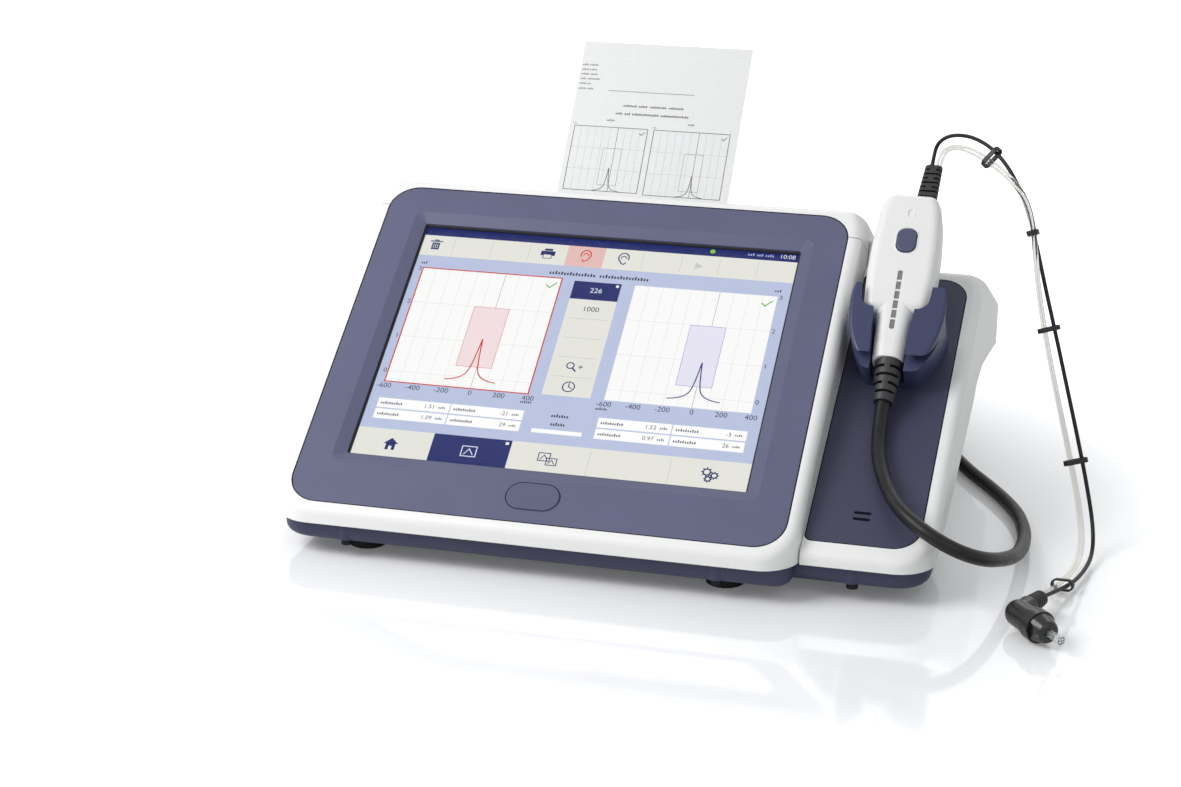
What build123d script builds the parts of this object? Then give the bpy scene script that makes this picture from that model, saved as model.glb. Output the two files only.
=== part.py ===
from build123d import *
import math
import os

os.makedirs("parts", exist_ok=True)

# Desk-top ear tester: a sloping touch screen section with a built-in strip printer,
# a lower cradle section on its right that carries a hand-held probe handle, the handle's
# thick cable with its coil, and a thin probe lead with two air tubes.
# Axes: +X to the right, +Y to the back, +Z up. The origin is on the table, under the
# middle of the two housings. All sizes are millimetres.

# Walls and clearances
wall = 2.5
seam_gap = 0.3
fit_gap = 0.4
run_gap = 0.05
overrun = 60.0
lap = 1.0
post_wall = 1.0

# Display
glass_width = 184.0
glass_height = 137.0
glass_thick = 1.1
glass_side = 5.75
glass_end = 3.8
opening_width = glass_width - 2 * glass_side
opening_height = glass_height - 2 * glass_end
opening_corner = 1.0
bezel_side = 19.25
bezel_foot = 27.0
bezel_head = 19.5
bezel_width = opening_width + 2 * bezel_side
bezel_low = -opening_height / 2 - bezel_foot
bezel_high = opening_height / 2 + bezel_head
bezel_corner = 13.0
bezel_thick = 3.0
bezel_edge = 0.6
ledge_width = 4.0
ledge_thick = 2.0
bevel_reach = 5.3
bevel_depth = 2.0
bevel_corner = 4.0
gasket_thick = 0.8
gasket_show = 0.8
lcd_thick = 6.0
lcd_air = 0.3
frame_sheet = 1.2
frame_ear = 8.5
frame_width = glass_width + 2 * frame_ear
frame_height = 112.0
boss_radius = 3.0
boss_gap = 1.7
boss_u = glass_width / 2 + boss_radius + boss_gap
boss_v = 50.0
screw_radius = 1.25
screw_head = 2.4
screw_head_tall = 1.8
case_screw_long = 12.0
case_post_top = 38.75
post_aside = 3.0

# Main section: its front edge stays, and the display and the printer follow behind it
screen_x = -26.5
rim_side = 5.5
rim_front = 3.621
lip_high = 21.848
main_tilt = 33.6
main_lean = math.radians(main_tilt)
main_left = screen_x - bezel_width / 2 - rim_side
main_right = screen_x + bezel_width / 2 + rim_side
main_front = -118.0
screen_y = main_front + rim_front - bezel_low * math.cos(main_lean)
screen_z = lip_high + (screen_y - main_front) * math.tan(main_lean)
ridge_beyond = 4.3
main_ridge = bezel_high + ridge_beyond
main_fall = 29.0
slot_back = 5.787
roll_beyond = 34.5
roll_back = 43.0
slot_y = screen_y + main_ridge * math.cos(main_lean) + slot_back
roll_y = slot_y + roll_beyond
rear_y = roll_y + roll_back
shell_low = 15.5
ridge_radius = 6.0
front_corner = 16.0
rear_corner = 12.0
crest_corner = 14.0
crest_headroom = 2.0
edge_radius = 4.5
roof_low = 43.0
recess_deep = 15.0
recess_y = rear_y - recess_deep
seam_below = 11.2
seam_v = bezel_high - seam_below

# Cradle section
cradle_width = 53.0
cradle_right = main_right + cradle_width
cradle_set_back = 11.0
cradle_front = main_front + cradle_set_back
cradle_aside = 23.65
cradle_lip = 6.0
cradle_x = main_right + cradle_aside
cradle_y = cradle_front + cradle_lip
cradle_z = 24.0
cradle_tilt = 27.5
cradle_ridge = 159.5
cradle_fall = 24.0
shoulder_rise = 13.0
shoulder_reach = 31.0
shoulder_start = 2.0
shoulder_x_shares = [0.0, 0.3, 0.65, 1.0]
shoulder_z_shares = [1.0, 0.86, 0.36, 0.0]
shoulder_lean = 55.0

# Undercut of both flanks: the lower edge of the white shell, seen from the side
flank_y_shares = [-0.042, 0.046, 0.211, 0.342, 0.582, 0.608, 0.747, 1.042]
flank_z_shares = [0.121, 0.125, 0.169, 0.242, 0.379, 0.411, 0.444, 0.335]
flank_in = 13.0
flank_drop = 27.0
flank_start = 1.0

# Base tray
tray_low = 7.5
tray_top = 15.2
tray_floor = 2.5
tray_margin = 2.0
tray_back_in = 29.5
tray_back_left = main_left + tray_back_in
tray_back_right = cradle_right - tray_back_in
tray_taper_front = -60.0
tray_taper_back = 20.0
tray_edge = 3.5
tray_step_round = 8.0
foot_radius = 8.0
foot_inset = 16.0
foot_depth = 1.0
foot_side = 35.2
foot_front = 22.4
cradle_screw_in = 40.0

# Front button
button_u = -0.5
button_v = -78.7
button_width = 22.7
button_height = 13.0
button_clear = 0.35
button_proud = 0.4
button_travel = 0.8
button_flange = 1.4
flange_thick = 1.2
stem_radius = 2.0
stem_long = 2.4
switch_side = 6.0
switch_tall = 3.4
switch_board_w = 35.0
switch_board_h = 14.0
switch_post_u = 15.8
board_thick = 1.6

# Main electronics
board_width = 150.0
board_height = 88.0
standoff_long = 9.0
standoff_radius = 2.5
standoff_inset = 6.0
chip_shares = [
    (-0.2, 0.114, 0.147, 0.25, 1.4), (0.013, 0.182, 0.08, 0.114, 0.9), (0.013, 0.023, 0.08, 0.114, 0.9),
    (0.24, 0.091, 0.2, 0.273, 2.1), (-0.347, -0.341, 0.187, 0.068, 4.1), (0.293, -0.364, 0.133, 0.068, 4.1)]

# Base hardware: air pump, valve and rear connector board
pump_aside = 45.5
pump_x = main_left + pump_aside
valve_before = 28.0
pump_before = 40.0
valve_y = recess_y - valve_before
pump_y = valve_y - pump_before
pump_size = [26.0, 24.0, 22.0]
pump_motor_long = 30.0
pump_shaft_long = 2.0
pump_seat = 3.0
valve_size = [20.0, 16.0, 18.0]
hose_radius = 2.0
nipple_radius = 1.2
nipple_long = 6.0

# Rear connector plate, in the recess under the roof
port_left = -87.0
port_right = 53.0
port_low = 16.0
port_high = 40.5
port_margin = 3.0
port_plate_thick = 1.6
port_z = 25.0
port_deep = 13.0
port_board_high = 38.0
port_board_in = 1.0
power_x = -76.0
power_radius = 3.2
power_deep = 9.0
power_body = [10.0, 11.0]
power_ring = 1.0
power_pin = 1.0
power_pin_in = 2.0
usb_x = [-58.0, -41.0]
usb_opening = [12.4, 4.8]
usb_shell = 0.5
usb_tongue = [10.8, 1.6]
usb_tongue_in = 1.0
usb_back = 2.0
audio_x = [-26.0, -13.0, 0.0]
audio_radius = 1.8
audio_ring = 3.8
audio_body = [9.0, 10.0]
ring_proud = 1.6
probe_port_x = 11.0
probe_port_z = 21.8
probe_port_radius = 5.4
probe_port_bore = 4.1
probe_port_deep = 9.0

# Strip printer
paper_x = -18.6
paper_width = 79.5
paper_thick = 0.25
paper_slope = 50.1
paper_visible = 78.7
slot_side = 1.0
nip_depth = 11.0
platen_radius = 6.0
shaft_radius = 2.0
roll_radius = 24.0
core_radius = 6.5
spindle_radius = 6.0
bay_wall = 1.6
bay_clear = 1.6
cheek_gap = 1.2
cheek_thick = 2.0
head_thick = 2.6
head_below = 6.0
head_above = 1.0
head_bar_share = 0.75
head_bar_thick = 2.0
tear_thick = 0.6
lid_left = -65.0
lid_right = 28.0
lid_gap = 0.5
lid_pin_radius = 1.1
lid_knuckle_radius = 2.2
lid_hinge_rise = 2.926
lid_hinge_y = rear_y - lid_knuckle_radius
seam_y = screen_y + seam_v * math.cos(main_lean)
seam_z = screen_z + seam_v * math.sin(main_lean)
lid_hinge_z = seam_z - (rear_y - seam_y) * math.tan(math.radians(main_fall)) + lid_hinge_rise
roll_rise = 1.0
roll_z = lid_hinge_z + roll_rise
lid_knuckles = 3
lid_edge_lift = 0.6
slot_open = 2.2
gear_module = 0.8
gear_teeth = 20
pinion_teeth = 14
gear_wide = 4.0
gear_tip_share = 0.7
gear_root_share = 1.0
tooth_root_share = 0.60
tooth_pitch_share = 0.42
tooth_tip_share = 0.20
motor_radius = 7.0
motor_long = 16.0
motor_shaft = 1.0
pinion_turn = -30.0
cheek_top_share = 0.7
cheek_back_share = 0.8
trough_share = 0.25
spigot_radius = 3.0
leg_reach = 5.0
leg_half = 3.0

# Probe handle, along its own axis from the bottom end, seen from its front
handle_aside = 2.55
handle_x = cradle_x - handle_aside
handle_y = -30.9
handle_z = 80.7
handle_tilt = 42.0
handle_long = 82.0
neck_top = 22.8
neck_half_low = 6.6
neck_half_high = 8.2
body_half_low = 13.3
body_half_mid = 14.7
body_half_high = 13.4
body_half_end = 9.8
body_deep = 19.0
neck_deep = 14.0
split_deep = 9.5
handle_wall = 1.8
neck_round = 5.5
key_s = 57.1
key_u = 0.5
key_width = 8.0
key_height = 11.8
key_corner = 3.5
key_travel = 0.8
mark_s = 70.9
mark_width = 2.6
mark_height = 4.4
mark_deep = 0.3
lamp_low = 13.8
lamp_high = 41.2
lamp_width = 2.1
lamp_count = 6
lamp_space = 0.8
handle_board_w = 15.0
handle_board_low = 34.0
handle_board_high = 71.0
handle_rib_in = 1.0
lamp_flange = 1.0
lamp_sheet = 1.0
body_s_shares = [0.44, 0.83]
top_corner = 4.8
step_corner = 4.8
body_round = 4.2
grip_screw_u = 9.0
grip_screw_low = 30.5
grip_screw_high = 75.5
grip_screw_radius = 1.0
grip_screw_long = 11.0
grip_head_radius = 1.9
grip_head_sink = 3.4
grip_post_radius = 2.5
handle_board_n = 7.0
key_flange = 1.2
key_proud = 0.9
key_switch_tall = 2.4

# Strain reliefs of the handle
boot_u = 0.6
boot_n = -6.7
boot_low = -19.0
boot_radius_top = 6.1
boot_radius_end = 4.1
boot_slots = 4
boot_slot_tall = 1.3
boot_neck = 3.4
boot_flange = 1.0
boot_core_in = 0.5
boot_bridge = 2.3
lead_neck = 4.2
lead_nub = 1.3
lead_boot_u = 5.5
lead_boot_n = -5.0
lead_boot_top = 98.5
lead_boot_wide = 8.4
lead_boot_narrow = 7.5
lead_boot_aside = 0.95
lead_boot_deep = 5.4
lead_boot_deep_low = 6.4
lead_boot_deep_high = 4.4
lead_slot_deep = 1.0
lead_boot_slots = 6
lead_slot_tall = 0.9
lead_slot_bridge = 2.6

# Cradle holder, in the handle's own axes
cup_low = -5.0
cup_aside = 1.4
cup_half_low = 11.0
cup_half_mid = 17.6
cup_half_high = 20.2
cup_half_end = 18.2
cup_mid = 7.0
cup_high = 30.0
cup_end = 46.0
cup_front = 2.4
cup_gap = 0.6
cup_wing_top = 21.6
cup_ear_front = -1.2
cup_ear_slope = -4.0
cup_ear_end = -12.0
cup_chin = -14.0
cup_chin_curve = [(-10.0, -14.0), (-6.4, -8.4), (-1.2, -3.2), (5.0, 0.4), (12.0, 2.8)]
cup_ear_in = 2.0
cup_ear_out = 4.0
cup_foot_step = 1.0
cup_round = 4.0
cup_top_round = 7.0
cup_edge = 1.6
cup_screw_v = [104.0, 128.0]
cup_screw_long = 4.5
cup_wall = 2.5

# Speaker under the cradle plate
plate_long = 154.5
plate_thick = 2.5
plate_corner = 11.0
plate_corner_left = 3.0
plate_side = 6.5
slit_u = -1.8
slit_v = 16.8
slit_pitch = 3.3
slit_long = 7.2
slit_wide = 1.5
speaker_v = 19.6
speaker_radius = 13.5
speaker_tall = 4.0
speaker_rim = 2.0
speaker_sheet = 1.0
cone_sink = 1.0
cone_deep = 1.6
cone_wall = 1.0
magnet_radius = 7.0
magnet_tall = 3.5

# Handle cable
cable_radius = 3.0
bend_share = 0.45
cable_route = [
    (106.2, -40.6, 62.95), (106.2, -49.5, 54.9), (108.4, -64.5, 48.2), (112.9, -76.5, 43.0),
    (119.2, -87.0, 40.2), (126.6, -95.8, 38.8), (135.4, -101.8, 36.4), (146.2, -103.4, 32.4),
    (155.6, -99.0, 27.0), (161.0, -89.8, 21.2), (163.0, -77.6, 15.2), (164.2, -62.6, 9.2),
    (165.6, -45.4, 5.0), (166.4, -26.0, 3.6), (163.6, -5.4, 3.3), (156.2, 13.6, 3.3),
    (145.4, 31.4, 3.3), (133.2, 48.6, 3.3), (123.4, 67.6, 3.3), (118.4, 88.0, 3.3),
    (112.6, 107.0, 3.3), (104.2, 125.6, 3.3), (95.6, 143.4, 3.3), (89.0, 162.0, 3.3),
    (89.0, 176.0, 3.3)]
coil_x = 50.0
coil_y = 182.0
coil_outer = 39.0
coil_pitch = 7.5
coil_layer = 7.5
coil_rest = 3.3
coil_halves = 4
coil_sample = 2.0
tail_route = [(11.0, 176.0, 10.8), (11.0, 163.0, 10.8), (11.0, 144.5, 21.8), (11.0, 131.0, 21.8)]
plug_radius = 5.0
plug_nose_radius = 3.9
plug_nose_long = 7.5
plug_boot_long = 11.0
plug_boot_start = 4.5
plug_boot_end = 3.8

# Probe lead and air tubes
lead_radius = 0.85
air_radius = 0.65
lead_route = [
    (111.1, 46.7, 143.8), (111.1, 50.4, 147.2), (112.3, 50.6, 152.4), (116.4, 46.6, 156.8),
    (122.6, 40.4, 159.6), (130.8, 32.6, 160.4), (139.8, 24.0, 157.8), (148.4, 16.0, 150.6),
    (155.6, 9.4, 139.0), (161.0, 4.6, 124.6), (166.0, 0.6, 107.6), (172.2, -4.4, 88.0),
    (178.6, -9.6, 67.0), (185.0, -14.9, 46.0), (190.4, -19.4, 27.0), (194.4, -24.6, 11.4),
    (195.6, -35.0, 3.4), (193.8, -51.0, 2.2), (189.8, -68.0, 2.9), (184.6, -82.8, 5.4),
    (179.6, -94.4, 6.9)]
air_route = [
    (113.4, 44.83, 143.84), (113.6, 47.93, 146.64), (115.8, 48.13, 151.04), (120.6, 41.8, 154.2),
    (127.4, 34.2, 155.8), (135.0, 26.0, 154.8), (142.6, 18.4, 152.2), (150.0, 11.2, 148.6),
    (156.4, 5.2, 142.4), (160.4, 1.4, 132.0), (162.4, -0.4, 118.0), (165.0, -2.6, 102.0),
    (170.0, -6.6, 82.0), (176.0, -11.4, 61.0), (182.0, -16.2, 41.0), (187.4, -20.6, 22.4),
    (191.0, -28.0, 8.6), (191.4, -40.0, 3.0), (189.4, -55.0, 2.4), (185.8, -70.0, 3.3),
    (181.8, -83.4, 5.6), (178.1, -93.8, 7.6)]
air_route_b = [
    (114.9, 44.83, 143.84), (115.3, 48.2, 146.9), (117.4, 47.9, 150.8), (122.2, 41.9, 153.2),
    (127.8, 33.4, 154.1), (134.4, 25.2, 153.5), (142.0, 17.4, 151.1), (149.3, 10.1, 147.6),
    (155.5, 4.0, 141.8), (159.5, 0.2, 131.8), (161.5, -1.6, 118.0), (164.1, -3.8, 102.0),
    (169.1, -7.8, 82.0), (175.1, -12.6, 61.0), (181.1, -17.4, 41.0), (186.4, -21.9, 22.2),
    (189.6, -28.8, 8.4), (189.9, -40.4, 3.0), (187.9, -55.0, 2.2), (184.3, -69.8, 2.9),
    (180.5, -83.0, 4.4), (178.4, -93.9, 5.8)]
clip_shares = [0.175, 0.312, 0.455, 0.648, 0.915]
clip_wall = 0.7
clip_wide = 2.0
clip_bore = 3.5
clip_samples = 200

# Probe head, lying on the table
elbow_x = 172.6
elbow_y = -111.6
elbow_reach = 8.2
elbow_radius = 5.4
arm_radius = 4.3
head_z = 6.9
head_turn = 49.6
head_body_radius = 6.0
head_body_long = 2.0
collar_radius = 6.6
collar_long = 4.4
dome_long = 6.2
dome_end_radius = 4.2
dome_end_round = 1.9
dome_flat = 4.9
tip_radius = 1.7
tip_long = 7.2
tip_bore = 0.4
tip_holes = 4
tip_hole_turn = 45.0
tip_sink = 3.0
probe_boot_long = 10.0
probe_boot_start = 3.2
probe_boot_end = 4.0
probe_boot_ribs = 5
probe_slot_tall = 0.8


# Work planes
def tilt_plane(x, y, z, tilt):
    lean = math.radians(tilt)
    return Plane(origin=(x, y, z), x_dir=(1, 0, 0), z_dir=(0, -math.sin(lean), math.cos(lean)))


main_plane = tilt_plane(screen_x, screen_y, screen_z, main_tilt)
cradle_plane = tilt_plane(cradle_x, cradle_y, cradle_z, cradle_tilt)
handle_plane = tilt_plane(handle_x, handle_y, handle_z, handle_tilt)


def slab(plane, face, low, high):
    return plane * (Pos(0, 0, low) * extrude(face, high - low))


def side_prism(points, x_low, x_high):
    face = make_face(Polyline(*points, close=True))
    return extrude(Plane.YZ.offset(x_low) * face, x_high - x_low)


def rod(start, end, radius):
    axis = Vector(*end) - Vector(*start)
    return extrude(Plane(origin=start, z_dir=axis) * Circle(radius), axis.length)


def cone(start, end, radius_a, radius_b):
    axis = Vector(*end) - Vector(*start)
    base = Plane(origin=start, z_dir=axis)
    return loft([base * Circle(radius_a), base.offset(axis.length) * Circle(radius_b)])


def block(x_low, x_high, y_low, y_high, z_low, z_high):
    size = (x_high - x_low, y_high - y_low, z_high - z_low)
    middle = ((x_high + x_low) / 2, (y_high + y_low) / 2, (z_high + z_low) / 2)
    return Pos(*middle) * Box(*size)


def on_main(u, v, w):
    return main_plane.from_local_coords((u, v, w))


def on_handle(u, s, n):
    point = handle_plane.from_local_coords((u, s, n))
    return (point.X, point.Y, point.Z)


# Housings
def envelope(x_low, x_high, front, y0, z0, tilt, ridge, fall, left_flat, inset):
    """outer form of one section, or its inner form where inset is a wall"""
    lean = math.radians(tilt)
    drop = math.tan(math.radians(fall))
    low = shell_low - 2 * inset
    front_top = z0 + (front - y0) * math.tan(lean)
    ridge_y = y0 + ridge * math.cos(lean)
    ridge_z = z0 + ridge * math.sin(lean)
    rear_top = ridge_z - (rear_y - ridge_y) * drop
    outline = make_face(Polyline(
        (front, low), (front, front_top), (ridge_y, ridge_z), (rear_y, rear_top),
        (rear_y, roof_low), (recess_y, roof_low), (recess_y, low), close=True))
    if inset > 0:
        outline = offset(outline, -inset, kind=Kind.INTERSECTION)
    outline = fillet(outline.vertices().sort_by(Axis.Y)[-1:], ridge_radius - inset)
    left = x_low + (0 if left_flat else inset)
    right = x_high - inset
    middle = (left + right) / 2
    body = extrude(Plane.YZ.offset(left) * outline, right - left)
    plan = Rectangle(right - left, rear_y - front - 2 * inset)
    fronts = plan.vertices().group_by(Axis.Y)[0].sort_by(Axis.X)
    plan = fillet(fronts[1:] if left_flat else fronts, front_corner - inset)
    backs = plan.vertices().group_by(Axis.Y)[-1].sort_by(Axis.X)
    plan = fillet(backs[1:] if left_flat else backs, rear_corner - inset)
    body = body & extrude(Pos(middle, (rear_y + front) / 2) * plan, ridge_z + overrun)
    top = ridge_z + crest_headroom - inset
    gate = Pos(middle, top / 2) * Rectangle(right - left, top)
    tops = gate.vertices().group_by(Axis.Y)[-1].sort_by(Axis.X)
    gate = fillet(tops[1:] if left_flat else tops, crest_corner - inset)
    gate_plane = Plane(origin=(0, rear_y + overrun, 0), x_dir=(1, 0, 0), z_dir=(0, -1, 0))
    return body & extrude(gate_plane * gate, rear_y - front + 2 * overrun)


def rim_edges(body, flat_x):
    """outline of the sloping top faces, without an edge at flat_x"""
    tops = []
    for face in body.faces():
        normal = face.normal_at(face.center())
        if abs(normal.X) < 0.02 and normal.Z > 0.2:
            tops.append(face)
    every = [edge for face in tops for edge in face.edges()]
    chosen = []
    for edge in every:
        shared = [other for other in every if other.is_same(edge)]
        if len(shared) == 1 and abs(edge.center().X - flat_x) > seam_gap:
            chosen.append(edge)
    return chosen


def flank_cutter(x_side, side, shift):
    """what is cut away under a flank; shift moves it inwards for the inner wall"""
    crest = screen_z + main_ridge * math.sin(math.radians(main_tilt))
    points = []
    for y_share, z_share in zip(flank_y_shares, flank_z_shares):
        points.append((main_front + y_share * (rear_y - main_front), z_share * crest))
    points = points + [(points[-1][0], -overrun), (points[0][0], -overrun)]
    face = make_face(Polyline(*points, close=True))
    reach = math.hypot(flank_in, flank_drop)
    start_x = x_side + side * (flank_start - shift * flank_drop / reach)
    start_z = flank_start * flank_drop / flank_in + shift * flank_in / reach
    placed = Pos(start_x, 0, start_z) * (Plane.YZ * face)
    return extrude(placed, reach * 2, dir=(-side * flank_in, 0, -flank_drop))


def seam_plane(lift):
    point = on_main(0, seam_v, 0)
    fall = math.radians(-main_fall)
    plane = Plane(origin=point, x_dir=(1, 0, 0), z_dir=(0, -math.sin(fall), math.cos(fall)))
    return plane.offset(lift)


def over_seam(lift):
    size = 10 * overrun
    return seam_plane(lift) * (Pos(0, 0, size / 2) * Box(size, size, size))


def bezel_face(grow):
    width = bezel_width + 2 * grow
    height = bezel_high - bezel_low + 2 * grow
    middle = (bezel_high + bezel_low) / 2
    return Pos(0, middle) * RectangleRounded(width, height, bezel_corner + grow)


def lid_top_plane():
    """plane of the rear slope, at its ridge end"""
    lean = math.radians(main_tilt)
    ridge_y = screen_y + main_ridge * math.cos(lean)
    ridge_z = screen_z + main_ridge * math.sin(lean)
    return tilt_plane((lid_left + lid_right) / 2, ridge_y, ridge_z, -main_fall)


def strip_point(along, aside):
    """point of the strip's side view: along from the slot mouth, aside to its back"""
    lean = math.radians(paper_slope)
    fall = math.tan(math.radians(main_fall))
    top = lid_top_plane().origin
    mouth_z = top.Z - (slot_y - top.Y) * fall
    y = slot_y + along * math.cos(lean) + aside * math.sin(lean)
    z = mouth_z + along * math.sin(lean) - aside * math.cos(lean)
    return (y, z)


def lid_region(grow, low, high):
    """space that the printer lid takes in the rear cover"""
    front_low = strip_point(low, slot_open / 2 + lid_gap - grow)
    front_high = strip_point(high, slot_open / 2 + lid_gap - grow)
    far = 2 * overrun
    points = [front_low, front_high, (far, front_high[1]), (far, roof_low),
              (front_low[0] + 2 * wall, roof_low)]
    return side_prism(points, lid_left - grow, lid_right + grow)


def main_shell():
    sizes = (main_left, main_right, main_front, screen_y, screen_z, main_tilt, main_ridge, main_fall)
    outer = envelope(*sizes, False, 0)
    outer = fillet(rim_edges(outer, main_left - overrun), edge_radius)
    inner = envelope(*sizes, False, wall)
    outer = outer - flank_cutter(main_left, -1, 0)
    inner = inner - flank_cutter(main_left, -1, wall)
    shell = outer - inner
    ledge = slab(main_plane, bezel_face(wall + lap), -bezel_thick - ledge_thick, -bezel_thick - seam_gap)
    ledge = ledge - slab(main_plane, bezel_face(-ledge_width), -overrun, overrun)
    shell = with_posts(shell + (ledge & outer), outer, case_screw_places[:4], inner)
    return shell - slab(main_plane, bezel_face(seam_gap), -bezel_thick - seam_gap, overrun)


def screw_post(x, y, low, high, bore):
    post = Pos(x, y, low) * extrude(Circle(boss_radius + post_wall), high - low)
    hole = Pos(x, y, low - lap) * extrude(Circle(bore), high - low)
    return post, hole


case_screw_places = [
    (main_left + front_corner + foot_inset, main_front + wall + boss_radius),
    (main_right - front_corner - foot_inset, main_front + wall + boss_radius),
    (tray_back_left + wall + boss_radius + post_aside, recess_y - wall - boss_radius),
    (main_right - foot_inset, recess_y - wall - boss_radius),
    (cradle_right - 2 * foot_inset, cradle_front + wall + boss_radius),
    (cradle_right - cradle_screw_in, recess_y - wall - boss_radius)]


def with_posts(shell, outer, places, inner):
    for x, y in places:
        post, hole = screw_post(x, y, shell_low, case_post_top, screw_radius + 2 * run_gap)
        shell = shell + (post & outer)
        shell = shell - (hole & inner)
    return shell


def housings():
    shell = main_shell()
    port_cut = block(port_left, port_right, recess_y - 2 * wall, recess_y + wall, port_low, port_high)
    shell = shell - port_cut
    lower = shell - over_seam(-seam_gap / 2)
    upper = shell & over_seam(seam_gap / 2)
    slot = side_prism([strip_point(-4 * wall, -slot_open / 2), strip_point(4 * wall, -slot_open / 2),
                       strip_point(4 * wall, slot_open), strip_point(-4 * wall, slot_open)],
                      paper_x - paper_width / 2 - slot_side, paper_x + paper_width / 2 + slot_side)
    upper = upper - slot
    return lower, upper


def cradle_housing():
    left = main_right + seam_gap
    sizes = (left, cradle_right, cradle_front, cradle_y, cradle_z, cradle_tilt, cradle_ridge, cradle_fall)
    outer = envelope(*sizes, True, 0)
    outer = fillet(rim_edges(outer, left), edge_radius)
    inner = envelope(*sizes, True, wall)
    outer = outer - flank_cutter(cradle_right, 1, 0) + shoulder(left, 0)
    inner = inner - flank_cutter(cradle_right, 1, wall) + shoulder(left, wall)
    shell = outer - inner
    ledge = slab(cradle_plane, plate_face(wall + lap), -plate_thick - ledge_thick, -plate_thick - seam_gap)
    ledge = ledge - slab(cradle_plane, plate_face(-ledge_width), -overrun, overrun)
    shell = with_posts(shell + (ledge & outer), outer, case_screw_places[4:], inner)
    return shell - slab(cradle_plane, plate_face(seam_gap), -plate_thick - seam_gap, overrun)


def shoulder(left, inset):
    """rear shoulder that leads from the main section down to the cradle's crest"""
    lean = math.radians(cradle_tilt)
    fall = math.radians(cradle_fall)
    ridge_y = cradle_y + cradle_ridge * math.cos(lean)
    ridge_z = cradle_z + cradle_ridge * math.sin(lean)
    reach = shoulder_reach
    points = []
    for x_share, z_share in zip(shoulder_x_shares, shoulder_z_shares):
        points.append((reach * x_share, shoulder_rise * z_share - inset))
    top = Spline(*points, tangents=[(1, 0), (1, 0)])
    sides = Polyline(points[-1], (reach, -2 * wall), (0, -2 * wall), points[0])
    face = make_face([*top.edges(), *sides.edges()])
    plane = Plane(origin=(left, ridge_y, ridge_z), x_dir=(1, 0, 0), z_dir=(0, -1, 0))
    long = (rear_y - ridge_y) / math.cos(fall) - inset
    body = extrude(plane * face, long, dir=(0, math.cos(fall), -math.sin(fall)))
    start_z = ridge_z - shoulder_start * math.tan(fall)
    lead_in = tilt_plane(left, ridge_y + shoulder_start, start_z, shoulder_lean).offset(-inset)
    size = 10 * overrun
    keep = lead_in * (Pos(0, 0, -size / 2) * Box(size, size, size))
    return body & keep & block(left, left + 2 * reach, ridge_y, rear_y - inset, 0, size)


def plate_face(grow):
    width = 2 * (cradle_right - plate_side - cradle_x) + 2 * grow
    face = Pos(0, plate_long / 2) * Rectangle(width, plate_long + 2 * grow)
    lefts = face.vertices().group_by(Axis.X)[0]
    face = fillet(lefts, plate_corner_left + max(grow, -plate_corner_left / 2))
    rights = face.vertices().group_by(Axis.X)[-1]
    return fillet(rights, plate_corner + grow)


def tray_outline(grow):
    left = main_left + tray_margin - grow
    right = cradle_right - tray_margin + grow
    front = main_front + tray_margin - grow
    step = cradle_front + tray_margin - grow
    back = recess_y + grow
    narrow_left = tray_back_left - grow
    narrow_right = tray_back_right + grow
    corner = main_right - tray_margin + grow
    face = make_face(Polyline(
        (left, front), (corner, front), (corner, step), (right, step), (right, tray_taper_front),
        (narrow_right, tray_taper_back), (narrow_right, back), (narrow_left, back),
        (narrow_left, tray_taper_back), (left, tray_taper_front), close=True))
    fronts = face.vertices().group_by(Axis.Y)[0].sort_by(Axis.X)
    face = fillet(fronts[:1], front_corner - tray_margin + grow)
    inner = [v for v in face.vertices() if abs(v.X - corner) < wall and abs(v.Y - front) < wall]
    face = fillet(inner, tray_step_round + grow)
    outer = [v for v in face.vertices() if v.X > right - wall and v.Y < step + wall]
    return fillet(outer, front_corner - tray_margin + grow)


foot_places = [
    (main_left + foot_side, main_front + foot_front),
    (main_right - 2 * foot_inset, main_front + foot_front),
    (cradle_right - 2 * foot_inset, cradle_front + foot_side),
    (tray_back_left + foot_inset, recess_y - 2 * foot_inset),
    (tray_back_right - foot_inset, recess_y - 2 * foot_inset)]


def base_tray():
    body = Pos(0, 0, tray_low) * extrude(tray_outline(0), tray_top - tray_low)
    body = fillet(body.faces().sort_by(Axis.Z)[0].edges(), tray_edge)
    pocket = Pos(0, 0, tray_low + tray_floor) * extrude(tray_outline(-wall), overrun)
    body = body - pocket
    for x, y in foot_places:
        body = body - Pos(x, y, tray_low - lap) * extrude(Circle(foot_radius + run_gap), foot_depth + lap)
    for x, y in case_screw_places:
        post = extrude(Circle(boss_radius + post_wall), tray_top - tray_low - lap)
        body = body + Pos(x, y, tray_low + lap) * post
        body = body - Pos(x, y, 0) * extrude(Circle(screw_radius + fit_gap), overrun)
    for y in (pump_y, valve_y):
        body = body + block(pump_x - boss_radius, pump_x + boss_radius, y - boss_radius, y + boss_radius,
                            tray_low + lap, tray_low + tray_floor + pump_seat)
    return body


def feet():
    return [Pos(x, y, 0) * extrude(Circle(foot_radius), tray_low + foot_depth) for x, y in foot_places]


def case_screws():
    made = []
    for x, y in case_screw_places:
        head = Pos(x, y, tray_low - screw_head_tall) * extrude(Circle(screw_head), screw_head_tall)
        made.append(head + Pos(x, y, tray_low) * extrude(Circle(screw_radius), case_screw_long))
    return made


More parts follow.
